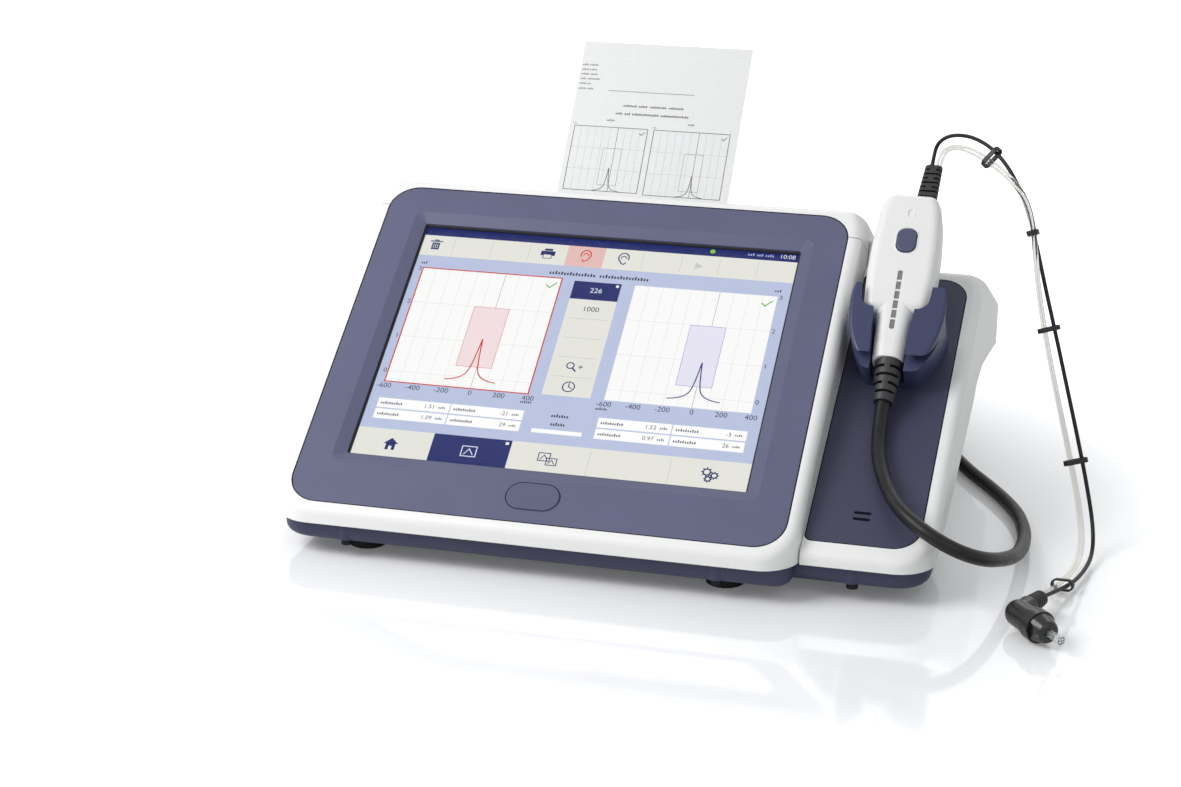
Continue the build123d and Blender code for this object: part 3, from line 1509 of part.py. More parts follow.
def with_hinge(lower, lid):
    marks = hinge_marks()
    trough = block(lid_left - lid_gap, lid_right + lid_gap, rear_y - 3 * wall, rear_y + wall,
                   lid_hinge_z - lid_knuckle_radius - fit_gap, lid_hinge_z + overrun)
    lower = lower - trough
    lid = lid - block(lid_left - lap, lid_right + lap, rear_y - 3 * wall, rear_y + wall,
                      0, lid_hinge_z + lid_edge_lift)
    far = 2 * overrun
    for k in range(len(marks) - 1):
        low = marks[k] + seam_gap / 2
        high = marks[k + 1] - seam_gap / 2
        if k % 2:
            lid = lid + knuckle(low, high, True)
        else:
            lower = lower + knuckle(low, high, False)
            around = lid_knuckle_radius + fit_gap + seam_gap
            lid = lid - across(lid_hinge_y, lid_hinge_z, low - seam_gap, high + seam_gap, around)
    lower = lower - across(lid_hinge_y, lid_hinge_z, -far, far, lid_pin_radius)
    lid = lid - across(lid_hinge_y, lid_hinge_z, -far, far, lid_pin_radius + run_gap)
    return lower, lid


def lid_hinge_pin():
    return across(lid_hinge_y, lid_hinge_z, lid_left + seam_gap, lid_right - seam_gap, lid_pin_radius)


# Cables
def bend_list(points):
    """radius of each corner of a route, as large as its two runs allow"""
    runs = [Vector(*b) - Vector(*a) for a, b in zip(points, points[1:])]
    bends = []
    for first, second in zip(runs, runs[1:]):
        turn = math.radians(first.get_angle(second))
        bends.append(bend_share * min(first.length, second.length) / math.tan(turn / 2))
    return bends


def tube(points, radius):
    """round tube along straight runs joined by arcs as large as the runs allow"""
    bends = bend_list(points)
    path = FilletPolyline(*points, radius=bends)
    start = Plane(origin=points[0], z_dir=Vector(*points[1]) - Vector(*points[0]))
    body = sweep(start * Circle(radius), path=path)
    full = body.volume / (math.pi * radius ** 2 * path.length)
    print("tube", round(path.length, 1), "least radius", round(min(bends), 1))
    print("in diameters", round(min(bends) / radius / 2, 1), "volume share", round(full, 4))
    return body


def coil_marks():
    """ends of the coil's half turns as x and z, out of a few loops in and out again"""
    marks = []
    for k in range(2 * coil_halves + 2):
        step = k if k <= coil_halves else 2 * coil_halves + 1 - k
        radius = coil_outer - step * coil_pitch / 2
        side = 1 if k % 2 == 0 else -1
        z = coil_rest if k <= coil_halves else coil_rest + coil_layer
        marks.append((coil_x + side * radius, z))
    return marks


def coil():
    marks = coil_marks()
    straight = 2 * cable_radius
    edges = [Line((marks[0][0], coil_y - straight, marks[0][1]), (marks[0][0], coil_y, marks[0][1]))]
    samples = []
    for k in range(len(marks) - 1):
        (xa, za), (xb, zb) = marks[k], marks[k + 1]
        side = 1 if k % 2 == 0 else -1
        bulge = math.hypot(xb - xa, zb - za) / 2
        middle = ((xa + xb) / 2, coil_y + side * bulge, (za + zb) / 2)
        edges.append(ThreePointArc((xa, coil_y, za), middle, (xb, coil_y, zb)))
    end_x, end_z = marks[-1]
    edges.append(Line((end_x, coil_y, end_z), (end_x, coil_y - straight, end_z)))
    for edge in edges:
        count = max(2, int(edge.length / coil_sample))
        samples.extend(edge.position_at(i / count) for i in range(count))
    clear = int(3 * 2 * cable_radius / coil_sample) + 1
    pairs = [(a, b) for i, a in enumerate(samples) for b in samples[i + clear:]]
    least = min((a - b).length for a, b in pairs)
    path = Wire(edges)
    print("coil", round(path.length, 1), "least self gap", round(least - 2 * cable_radius, 2))
    start = Plane(origin=path.position_at(0), z_dir=(0, 1, 0))
    return sweep(start * Circle(cable_radius), path=path)


def cable_plug():
    y_back = tail_route[-1][1]
    x, z = probe_port_x, probe_port_z
    front = port_face() + ring_proud + seam_gap
    boot = cone((x, y_back, z), (x, y_back - plug_boot_long, z), plug_boot_end, plug_boot_start)
    body = rod((x, y_back - plug_boot_long, z), (x, front, z), plug_radius)
    nose = rod((x, front, z), (x, front - plug_nose_long, z), plug_nose_radius)
    return boot + body + nose


def lead_clip(share):
    """soft loop that ties the lead and both air tubes together"""
    route = Wire(FilletPolyline(*lead_route, radius=bend_list(lead_route)).edges())
    point = route.position_at(share)
    other = Wire(FilletPolyline(*air_route_b, radius=bend_list(air_route_b)).edges())
    samples = [other.position_at(i / clip_samples) for i in range(clip_samples + 1)]
    near = min(samples, key=lambda p: (p - point).length)
    span = (near - point).length
    plane = Plane(origin=(point + near) / 2, x_dir=near - point, z_dir=route.tangent_at(share))
    hole = SlotOverall(span + clip_bore, clip_bore)
    ring = SlotOverall(span + clip_bore + 2 * clip_wall, clip_bore + 2 * clip_wall) - hole
    return extrude(plane * ring, clip_wide / 2, both=True)


# Probe head
def head_axis():
    turn = math.radians(-head_turn)
    return Vector(math.cos(turn), math.sin(turn), 0)


def boot_axis():
    axis = Vector(elbow_x, elbow_y, 0) - Vector(lead_route[-1][0], lead_route[-1][1], 0)
    return axis.normalized()


def along_head(far):
    point = Vector(elbow_x, elbow_y, head_z) + head_axis() * far
    return (point.X, point.Y, point.Z)


def probe_boot():
    start = Vector(elbow_x, elbow_y, head_z) - boot_axis() * (elbow_reach + probe_boot_long)
    end = start + boot_axis() * probe_boot_long
    body = cone(tuple(start), tuple(end), probe_boot_start, probe_boot_end)
    pitch = probe_boot_long / (probe_boot_ribs + 1)
    for k in range(probe_boot_ribs):
        low = start + boot_axis() * (pitch * (k + 1) - probe_slot_tall / 2)
        flare = (probe_boot_end - probe_boot_start) * k / probe_boot_ribs
        core = Circle(probe_boot_start + flare - boot_core_in)
        plane = Plane(origin=tuple(low), z_dir=boot_axis())
        body = body - extrude(plane * (Circle(2 * probe_boot_end) - core), probe_slot_tall)
    return body


def probe_body():
    start = Vector(elbow_x, elbow_y, head_z) - boot_axis() * elbow_reach
    elbow = Pos(elbow_x, elbow_y, head_z) * Sphere(elbow_radius)
    arm = rod(tuple(start), (elbow_x, elbow_y, head_z), arm_radius)
    barrel = rod(along_head(0), along_head(elbow_reach), elbow_radius)
    wide = rod(along_head(elbow_reach), along_head(elbow_reach + head_body_long), head_body_radius)
    return arm + elbow + barrel + wide


def probe_collar():
    low = elbow_reach + head_body_long
    return rod(along_head(low), along_head(low + collar_long), collar_radius)


def probe_cap():
    low = elbow_reach + head_body_long + collar_long
    body = cone(along_head(low), along_head(low + dome_long), head_body_radius, dome_end_radius)
    tip_face = body.faces().sort_by(Axis(along_head(0), tuple(head_axis())))[-1]
    body = fillet(tip_face.edges(), dome_end_round)
    kept = Plane(origin=along_head(low), z_dir=head_axis()) * Rectangle(2 * dome_flat, 4 * collar_radius)
    body = body & extrude(kept, dome_long)
    start, end = along_head(low + dome_long - tip_sink), along_head(low + dome_long + lap)
    return body - rod(start, end, tip_radius + run_gap)


def probe_tip():
    low = elbow_reach + head_body_long + collar_long + dome_long - tip_sink
    high = low + tip_sink + tip_long
    body = rod(along_head(low), along_head(high), tip_radius)
    face = Plane(origin=along_head(high), z_dir=head_axis())
    for k in range(tip_holes):
        turn = math.radians(360 / tip_holes * k + tip_hole_turn)
        place = Pos(tip_radius / 2 * math.cos(turn), tip_radius / 2 * math.sin(turn))
        body = body - extrude(face * (place * Circle(tip_bore)), -tip_long)
    return body


def write(name, made):
    items = made if isinstance(made, list) else [made]
    solids = [solid for item in items for solid in item.solids()]
    export_step(Compound(children=solids), os.path.join("parts", name + ".step"))


def main():
    lower, upper_all = housings()
    lid_whole = upper_all & lid_region(0, -4 * wall, 2 * wall)
    cover = upper_all - lid_region(lid_gap, -4 * wall, 2 * wall)
    lower, lid = with_hinge(lower, lid_whole)
    write("base_tray", base_tray())
    write("feet", feet())
    write("screws", case_screws() + lcd_screws() + holder_screws())
    write("display_housing", lower)
    write("rear_cover", cover)
    write("printer_lid", lid)
    write("lid_hinge_pin", lid_hinge_pin())
    write("cradle_housing", cradle_housing())
    write("display_bezel", display_bezel())
    write("screen_gasket", screen_gasket())
    write("touch_glass", touch_glass())
    write("lcd_module", lcd_module())
    write("lcd_frame", lcd_frame())
    write("board_standoffs", board_standoffs())
    write("main_board", main_board())
    write("board_components", board_components())
    write("front_button", front_button())
    write("button_board", button_board())
    write("cradle_panel", cradle_panel())
    write("speaker", [speaker(), speaker_cone()])
    write("cradle_holder", cradle_holder())
    front, rear = handle_shells()
    write("handle_front", front)
    write("handle_rear", rear)
    write("handle_screws", handle_screws())
    write("handle_board", handle_board())
    write("handle_button", handle_button())
    write("handle_lights", handle_lights())
    write("lower_boot", lower_boot())
    write("upper_boot", upper_boot())
    write("pump", pump())
    write("pump_motor", pump_motor())
    write("air_valve", air_valve())
    write("inner_air_hose", inner_air_hose())
    write("connector_plate", connector_plate())
    write("connector_board", connector_board())
    write("power_jack", power_jack())
    write("signal_ports", [usb_port(x) for x in usb_x] + [audio_jack(x) for x in audio_x])
    write("probe_socket", probe_socket())
    write("paper_bay", paper_bay())
    write("platen_roller", platen_roller())
    write("platen_gear", platen_gear())
    write("thermal_head", [thermal_head(), head_bar()])
    write("tear_bar", tear_bar())
    write("feed_motor", feed_motor())
    write("feed_pinion", feed_pinion())
    write("paper_roll", paper_roll())
    write("roll_spindle", roll_spindle())
    write("paper_web", paper_web())
    write("paper_strip", paper_strip())
    write("main_cable", tube(cable_route, cable_radius))
    write("main_cable_coil", coil())
    write("main_cable_tail", tube(tail_route, cable_radius))
    write("cable_plug", cable_plug())
    write("probe_lead", tube(lead_route, lead_radius))
    write("air_tubes", [tube(route, air_radius) for route in (air_route, air_route_b)])
    write("lead_clips", [lead_clip(share) for share in clip_shares])
    write("probe_boot", probe_boot())
    write("probe_body", [probe_body(), probe_collar()])
    write("probe_cap", probe_cap())
    write("probe_tip", probe_tip())


main()
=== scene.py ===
import math

import bmesh
import bpy
from mathutils import Matrix, Vector


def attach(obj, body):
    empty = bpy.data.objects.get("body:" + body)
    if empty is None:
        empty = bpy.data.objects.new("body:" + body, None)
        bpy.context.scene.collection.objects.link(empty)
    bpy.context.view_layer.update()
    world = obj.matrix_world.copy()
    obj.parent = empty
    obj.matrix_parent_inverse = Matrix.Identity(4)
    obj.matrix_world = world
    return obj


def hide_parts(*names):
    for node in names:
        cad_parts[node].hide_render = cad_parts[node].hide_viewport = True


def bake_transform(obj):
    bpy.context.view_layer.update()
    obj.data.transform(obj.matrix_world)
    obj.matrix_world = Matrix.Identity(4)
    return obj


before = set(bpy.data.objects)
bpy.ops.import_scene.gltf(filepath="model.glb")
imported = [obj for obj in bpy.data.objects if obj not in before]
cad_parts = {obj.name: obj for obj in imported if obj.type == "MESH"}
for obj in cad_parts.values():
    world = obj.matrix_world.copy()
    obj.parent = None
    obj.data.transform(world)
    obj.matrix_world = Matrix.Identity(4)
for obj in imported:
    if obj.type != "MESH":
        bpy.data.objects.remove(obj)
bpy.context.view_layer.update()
MM = 0.001

# Planes of the part, in millimetres and degrees
sideways = Vector((1, 0, 0))
display_origin, display_lean = Vector((-26.5, -38.0, 75.0)), 33.6
cradle_origin, cradle_lean = Vector((108.15, -101.0, 24.0)), 27.5
paper_origin, paper_lean = Vector((-18.6, 41.5, 120.7677)), 50.1
grip_origin = Vector((105.6, -30.9, 80.7))
grip_along = Vector((0, 0.743145, 0.669131))
grip_out = Vector((0, -0.669131, 0.743145))


def leaning(degrees):
    """directions up a leaning plane and out of it"""
    lean = math.radians(degrees)
    return Vector((0, math.cos(lean), math.sin(lean))), Vector((0, -math.sin(lean), math.cos(lean)))


# Camera, light and floor
def set_camera():
    """lens, place and aim worked out from the edges of the screen and the paper"""
    sensor_width, focal_length, near_end = 36.0, 73.42, 0.05
    place = (0.23836, -0.98134, 0.39838)
    level, back = Vector((0.9644, 0.2646, 0.0)), Vector((0.2496, -0.9098, 0.3315)).normalized()
    lens = bpy.data.cameras.new("studio_camera")
    lens.sensor_width = sensor_width
    lens.lens = focal_length
    lens.clip_start = near_end
    camera = bpy.data.objects.new("studio_camera", lens)
    up = back.cross(level.normalized()).normalized()
    right = up.cross(back)
    turn = Matrix((right, up, back)).transposed().to_4x4()
    camera.matrix_world = Matrix.Translation(place) @ turn
    bpy.context.scene.collection.objects.link(camera)
    bpy.context.scene.camera = camera


def soft_lamp(name, place, aim, width, height, power):
    """softbox at a place in metres, turned to what it lights"""
    lamp = bpy.data.lights.new(name, "AREA")
    lamp.shape = "RECTANGLE"
    lamp.size = width
    lamp.size_y = height
    lamp.energy = power
    holder = bpy.data.objects.new(name, lamp)
    direction = Vector(aim) - Vector(place)
    holder.matrix_world = Matrix.Translation(place) @ direction.to_track_quat("-Z", "Y").to_matrix().to_4x4()
    bpy.context.scene.collection.objects.link(holder)


def set_world():
    """plain pale light all round, white where it is seen, mirrored or looked at through glass"""
    light_colour, light_level, mirrored_level = (0.92, 0.95, 1.0, 1.0), 0.44, 0.8
    world = bpy.data.worlds.new("studio")
    world.use_nodes = True
    nodes, links = world.node_tree.nodes, world.node_tree.links
    nodes.clear()
    plain = nodes.new("ShaderNodeBackground")
    plain.inputs["Color"].default_value = light_colour
    plain.inputs["Strength"].default_value = light_level
    white = nodes.new("ShaderNodeBackground")
    white.inputs["Color"].default_value = (1, 1, 1, 1)
    path = nodes.new("ShaderNodeLightPath")
    level = nodes.new("ShaderNodeMath")
    level.operation = "MULTIPLY_ADD"
    level.inputs[1].default_value = 1 - mirrored_level
    level.inputs[2].default_value = mirrored_level
    links.new(path.outputs["Is Camera Ray"], level.inputs[0])
    links.new(level.outputs[0], white.inputs["Strength"])
    seen = nodes.new("ShaderNodeMath")
    seen.operation = "MAXIMUM"
    links.new(path.outputs["Is Camera Ray"], seen.inputs[0])
    links.new(path.outputs["Is Transmission Ray"], seen.inputs[1])
    shining = nodes.new("ShaderNodeMath")
    shining.operation = "MAXIMUM"
    links.new(seen.outputs[0], shining.inputs[0])
    links.new(path.outputs["Is Glossy Ray"], shining.inputs[1])
    mix = nodes.new("ShaderNodeMixShader")
    links.new(shining.outputs[0], mix.inputs[0])
    links.new(plain.outputs[0], mix.inputs[1])
    links.new(white.outputs[0], mix.inputs[2])
    out = nodes.new("ShaderNodeOutputWorld")
    links.new(mix.outputs[0], out.inputs["Surface"])
    bpy.context.scene.world = world


def set_floor():
    """white gloss table top with the shadow and a soft mirror image, pure white further out"""
    half_width, pale, gloss_rough, gloss_index = 4.0, 0.95, 0.07, 2.1
    shadow_middle, shadow_near, shadow_far = (-0.01, -0.06), 0.18, 0.34
    glow_near, glow_far = 0.1, 0.7
    bm = bmesh.new()
    bmesh.ops.create_grid(bm, x_segments=2, y_segments=2, size=half_width)
    mesh = bpy.data.meshes.new("table_top")
    bm.to_mesh(mesh)
    bm.free()
    floor = bpy.data.objects.new("table_top", mesh)
    bpy.context.scene.collection.objects.link(floor)
    material, tree, shader = new_finish("table_white")
    shader.inputs["Base Color"].default_value = (pale, pale, pale, 1)
    shader.inputs["Roughness"].default_value = gloss_rough
    shader.inputs["IOR"].default_value = gloss_index
    glow = tree.nodes.new("ShaderNodeEmission")
    path = tree.nodes.new("ShaderNodeLightPath")
    place = tree.nodes.new("ShaderNodeTexCoord")
    around = tree.nodes.new("ShaderNodeMapping")
    around.inputs["Location"].default_value = (-shadow_middle[0], -shadow_middle[1], 0)
    length = tree.nodes.new("ShaderNodeVectorMath")
    length.operation = "LENGTH"
    away = tree.nodes.new("ShaderNodeMapRange")
    away.interpolation_type = "SMOOTHSTEP"
    away.inputs["From Min"].default_value = shadow_near
    away.inputs["From Max"].default_value = shadow_far
    away.inputs["To Min"].default_value = glow_near
    away.inputs["To Max"].default_value = glow_far
    share = tree.nodes.new("ShaderNodeMath")
    share.operation = "MULTIPLY"
    tree.links.new(place.outputs["Object"], around.inputs["Vector"])
    tree.links.new(around.outputs[0], length.inputs[0])
    tree.links.new(length.outputs["Value"], away.inputs["Value"])
    tree.links.new(away.outputs["Result"], share.inputs[1])
    tree.links.new(path.outputs["Is Camera Ray"], share.inputs[0])
    tree.links.new(share.outputs[0], glow.inputs["Strength"])
    both = tree.nodes.new("ShaderNodeAddShader")
    tree.links.new(shader.outputs[0], both.inputs[0])
    tree.links.new(glow.outputs[0], both.inputs[1])
    out = tree.nodes["Material Output"]
    tree.links.new(both.outputs[0], out.inputs["Surface"])
    mesh.materials.append(material)


# Finishes
def tone(red, green, blue):
    """screen value from 0 to 255 as linear light"""
    def line(value):
        share = value / 255
        return share / 12.92 if share <= 0.04045 else ((share + 0.055) / 1.055) ** 2.4
    return (line(red), line(green), line(blue))


def new_finish(name):
    """new material with its node tree and its surface shader"""
    material = bpy.data.materials.new(name)
    material.use_nodes = True
    return material, material.node_tree, material.node_tree.nodes["Principled BSDF"]


def noise(tree, scale, detail=3.0, stretch=(1, 1, 1)):
    """cloudy pattern fixed to the piece"""
    place = tree.nodes.new("ShaderNodeTexCoord")
    mapping = tree.nodes.new("ShaderNodeMapping")
    mapping.inputs["Scale"].default_value = stretch
    texture = tree.nodes.new("ShaderNodeTexNoise")
    texture.inputs["Scale"].default_value = scale
    texture.inputs["Detail"].default_value = detail
    tree.links.new(place.outputs["Object"], mapping.inputs["Vector"])
    tree.links.new(mapping.outputs[0], texture.inputs["Vector"])
    return texture


def spread(tree, source, low, high):
    """middle of a cloudy pattern, widened to the range from low to high"""
    cloud_low, cloud_high = 0.3, 0.7
    ranged = tree.nodes.new("ShaderNodeMapRange")
    ranged.inputs["From Min"].default_value = cloud_low
    ranged.inputs["From Max"].default_value = cloud_high
    ranged.inputs["To Min"].default_value = low
    ranged.inputs["To Max"].default_value = high
    tree.links.new(source, ranged.inputs["Value"])
    return ranged.outputs["Result"]


def shade(tree, source, first, second):
    """colour between two colours, after the pattern"""
    mix = tree.nodes.new("ShaderNodeMix")
    mix.data_type = "RGBA"
    mix.inputs["A"].default_value = (*first, 1)
    mix.inputs["B"].default_value = (*second, 1)
    tree.links.new(source, mix.inputs["Factor"])
    return mix.outputs["Result"]


def relief(tree, shader, source, depth):
    """fine unevenness of the surface, depth in metres"""
    bump = tree.nodes.new("ShaderNodeBump")
    bump.inputs["Distance"].default_value = depth
    bump.inputs["Strength"].default_value = 1.0
    tree.links.new(source, bump.inputs["Height"])
    tree.links.new(bump.outputs[0], shader.inputs["Normal"])


def moulded(name, colour, rough, grain, depth, mottle, specular=0.5):
    """injection-moulded plastic: spark grain of a fineness and a depth in metres, faintly uneven colour"""
    material, tree, shader = new_finish(name)
    cloud = noise(tree, 22.0, 4.0)
    amount = spread(tree, cloud.outputs["Fac"], 0.0, 1.0)
    low = [value * (1 - mottle) for value in colour]
    high = [min(1.0, value * (1 + mottle)) for value in colour]
    tree.links.new(shade(tree, amount, low, high), shader.inputs["Base Color"])
    fine = noise(tree, grain, 2.0)
    gloss = spread(tree, fine.outputs["Fac"], rough * 0.85, rough * 1.15)
    tree.links.new(gloss, shader.inputs["Roughness"])
    shader.inputs["Specular IOR Level"].default_value = specular
    relief(tree, shader, fine.outputs["Fac"], depth)
    return material


def rubbery(name, colour, rough, specular=0.5):
    """soft black or grey rubber with a dusty bloom"""
    material, tree, shader = new_finish(name)
    dust = noise(tree, 260.0, 5.0)
    amount = spread(tree, dust.outputs["Fac"], 0.0, 1.0)
    pale = [min(1.0, value * 1.35 + 0.004) for value in colour]
    tree.links.new(shade(tree, amount, colour, pale), shader.inputs["Base Color"])
    gloss = spread(tree, dust.outputs["Fac"], rough - 0.06, rough + 0.08)
    tree.links.new(gloss, shader.inputs["Roughness"])
    shader.inputs["Specular IOR Level"].default_value = specular
    relief(tree, shader, noise(tree, 1500.0, 2.0).outputs["Fac"], 0.00003)
    return material


def metal(name, colour, rough, along=(1, 1, 1)):
    """machined or drawn metal with fine lines"""
    material, tree, shader = new_finish(name)
    shader.inputs["Metallic"].default_value = 1.0
    lines = noise(tree, 700.0, 3.0, along)
    amount = spread(tree, lines.outputs["Fac"], 0.0, 1.0)
    worn = [value * 0.85 for value in colour]
    tree.links.new(shade(tree, amount, worn, colour), shader.inputs["Base Color"])
    gloss = spread(tree, lines.outputs["Fac"], rough * 0.8, rough * 1.3)
    tree.links.new(gloss, shader.inputs["Roughness"])
    relief(tree, shader, lines.outputs["Fac"], 0.00001)
    return material


def circuit(name):
    """green lacquered board with copper traces under the lacquer"""
    material, tree, shader = new_finish(name)
    place = tree.nodes.new("ShaderNodeTexCoord")
    cells = tree.nodes.new("ShaderNodeTexBrick")
    cells.inputs["Scale"].default_value = 160.0
    cells.inputs["Mortar Size"].default_value = 0.03
    cells.inputs["Color1"].default_value = (*tone(10, 92, 52), 1)
    cells.inputs["Color2"].default_value = (*tone(14, 106, 62), 1)
    cells.inputs["Mortar"].default_value = (*tone(58, 140, 78), 1)
    tree.links.new(place.outputs["Object"], cells.inputs["Vector"])
    tree.links.new(cells.outputs["Color"], shader.inputs["Base Color"])
    shader.inputs["Roughness"].default_value = 0.3
    relief(tree, shader, cells.outputs["Fac"], 0.00002)
    return material


def clear(name, colour, rough, through, index):
    """clear or milky plastic or glass"""
    material, tree, shader = new_finish(name)
    haze = noise(tree, 160.0, 2.0)
    gloss = spread(tree, haze.outputs["Fac"], rough * 0.7, rough * 1.3)
    tree.links.new(gloss, shader.inputs["Roughness"])
    shader.inputs["Base Color"].default_value = (*colour, 1)
    shader.inputs["Transmission Weight"].default_value = through
    shader.inputs["IOR"].default_value = index
    return material


def inked(name, glowing):
    """takes its colour from the drawing's own ink attribute"""
    material, tree, shader = new_finish(name)
    ink = tree.nodes.new("ShaderNodeAttribute")
    ink.attribute_name = "ink"
    if glowing:
        shader.inputs["Base Color"].default_value = (0.01, 0.01, 0.012, 1)
        shader.inputs["Roughness"].default_value = 0.35
        shader.inputs["Specular IOR Level"].default_value = 0.1
        tree.links.new(ink.outputs["Color"], shader.inputs["Emission Color"])
        shader.inputs["Emission Strength"].default_value = 1.0
    else:
        tree.links.new(ink.outputs["Color"], shader.inputs["Base Color"])
        shader.inputs["Roughness"].default_value = 0.75
    return material


def paper_finish(name):
    """thermal paper: bright, slightly coated, with faint fibres"""
    material, tree, shader = new_finish(name)
    fibres = noise(tree, 420.0, 6.0, (1, 3, 3))
    amount = spread(tree, fibres.outputs["Fac"], 0.0, 1.0)
    faint = shade(tree, amount, tone(222, 222, 221), tone(227, 227, 226))
    tree.links.new(faint, shader.inputs["Base Color"])
    shader.inputs["Roughness"].default_value = 0.55
    relief(tree, shader, fibres.outputs["Fac"], 0.00002)
    return material


set_world()
set_floor()
set_camera()
soft_lamp("key_softbox", (-0.66, -0.5, 0.8), (-0.04, 0, 0.06), 0.6, 0.6, 8.8)
soft_lamp("fill_softbox", (0.9, -1.3, 1.2), (0, 0, 0.05), 1.0, 1.0, 3.5)
soft_lamp("back_softbox", (0.1, 1.5, 1.4), (0, 0, 0.1), 1.6, 0.8, 7.0)

shell_white = moulded("shell_white", tone(236, 236, 233), 0.38, 3000.0, 0.000015, 0.012)
handle_white = moulded("handle_white", tone(233, 233, 230), 0.34, 3200.0, 0.000012, 0.012)
bezel_slate = moulded("bezel_slate", tone(92, 93, 120), 0.5, 1300.0, 0.00007, 0.06, specular=0.3)
tray_slate = moulded("tray_slate", tone(58, 59, 83), 0.5, 2200.0, 0.00004, 0.06, specular=0.3)
cradle_slate = moulded("cradle_slate", tone(62, 62, 85), 0.48, 1300.0, 0.00007, 0.08, specular=0.3)
holder_navy = moulded("holder_navy", tone(56, 60, 92), 0.36, 2600.0, 0.00002, 0.06, specular=0.4)
# near-black finish for the painted seam shadows: it stands in for the shade at the bottom of the joints and
# is not a colour of the part
seam_shadow_black = moulded("seam_shadow_black", tone(20, 20, 24), 0.8, 2600.0, 0.00002, 0.05, specular=0.1)
black_inner = moulded("black_inner", tone(36, 36, 38), 0.55, 2200.0, 0.00003, 0.08)
trim_white = moulded("trim_white", tone(244, 244, 242), 0.3, 3000.0, 0.00001, 0.01)
gear_white = moulded("gear_white", tone(206, 204, 196), 0.4, 1800.0, 0.00001, 0.03)
key_slate = moulded("key_slate", tone(88, 89, 115), 0.5, 1300.0, 0.00005, 0.05, specular=0.3)
key_navy = moulded("key_navy", tone(74, 76, 106), 0.32, 2600.0, 0.00001, 0.05)
lamp_smoke = moulded("lamp_smoke", tone(124, 124, 124), 0.25, 1200.0, 0.00001, 0.04)
probe_gloss = moulded("probe_gloss", tone(26, 26, 28), 0.28, 1200.0, 0.00001, 0.06)
foot_rubber = rubbery("foot_rubber", tone(18, 18, 19), 0.75)
boot_rubber = rubbery("boot_rubber", tone(34, 34, 36), 0.5)
cable_rubber = rubbery("cable_rubber", tone(16, 16, 18), 0.38, 0.28)
platen_rubber = rubbery("platen_rubber", tone(46, 44, 44), 0.7)
clip_rubber = rubbery("clip_rubber", tone(26, 26, 28), 0.45, 0.35)
steel_drawn = metal("steel_drawn", tone(176, 178, 180), 0.32, (1, 8, 8))
steel_black = metal("steel_black", tone(44, 44, 47), 0.42)
brass_turned = metal("brass_turned", tone(206, 170, 98), 0.28)
board_green = circuit("board_green")
silicone = clear("silicone", tone(250, 250, 244), 0.06, 0.94, 1.16)
tip_clear = clear("tip_clear", tone(246, 248, 248), 0.06, 0.9, 1.25)
cover_glass = clear("cover_glass", (1, 1, 1), 0.03, 1.0, 1.1)
lcd_black = moulded("lcd_black", tone(18, 18, 22), 0.3, 1500.0, 0.00001, 0.05)
thermal_paper = paper_finish("thermal_paper")
screen_ink = inked("screen_ink", True)
printer_ink = inked("printer_ink", False)

finishes = {
    shell_white: ["display_housing", "rear_cover", "cradle_housing", "printer_lid"],
    handle_white: ["handle_front", "handle_rear"],
    bezel_slate: ["display_bezel"],
    tray_slate: ["base_tray"],
    cradle_slate: ["cradle_panel"],
    holder_navy: ["cradle_holder"],
    key_slate: ["front_button"],
    key_navy: ["handle_button"],
    lamp_smoke: ["handle_lights"],
    black_inner: ["speaker", "pump", "air_valve", "connector_plate", "power_jack", "signal_ports",
                  "probe_socket", "paper_bay", "roll_spindle", "cable_plug", "board_components"],
    gear_white: ["platen_gear", "feed_pinion"],
    probe_gloss: ["probe_body", "probe_cap"],
    foot_rubber: ["feet", "screen_gasket"],
    boot_rubber: ["lower_boot", "upper_boot", "probe_boot"],
    clip_rubber: ["lead_clips"],
    platen_rubber: ["platen_roller"],
    steel_black: ["screws"],
    steel_drawn: ["lid_hinge_pin", "lcd_frame", "handle_screws", "pump_motor", "thermal_head", "tear_bar",
                  "feed_motor"],
    brass_turned: ["board_standoffs"],
    board_green: ["main_board", "button_board", "handle_board", "connector_board"],
    silicone: ["inner_air_hose"],
    tip_clear: ["probe_tip"],
    cover_glass: ["touch_glass"],
    lcd_black: ["lcd_module"],
    thermal_paper: ["paper_roll", "paper_web", "paper_strip"],
}
for finish, names in finishes.items():
    for name in names:
        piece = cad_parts[name]
        piece.data.materials.clear()
        piece.data.materials.append(finish)


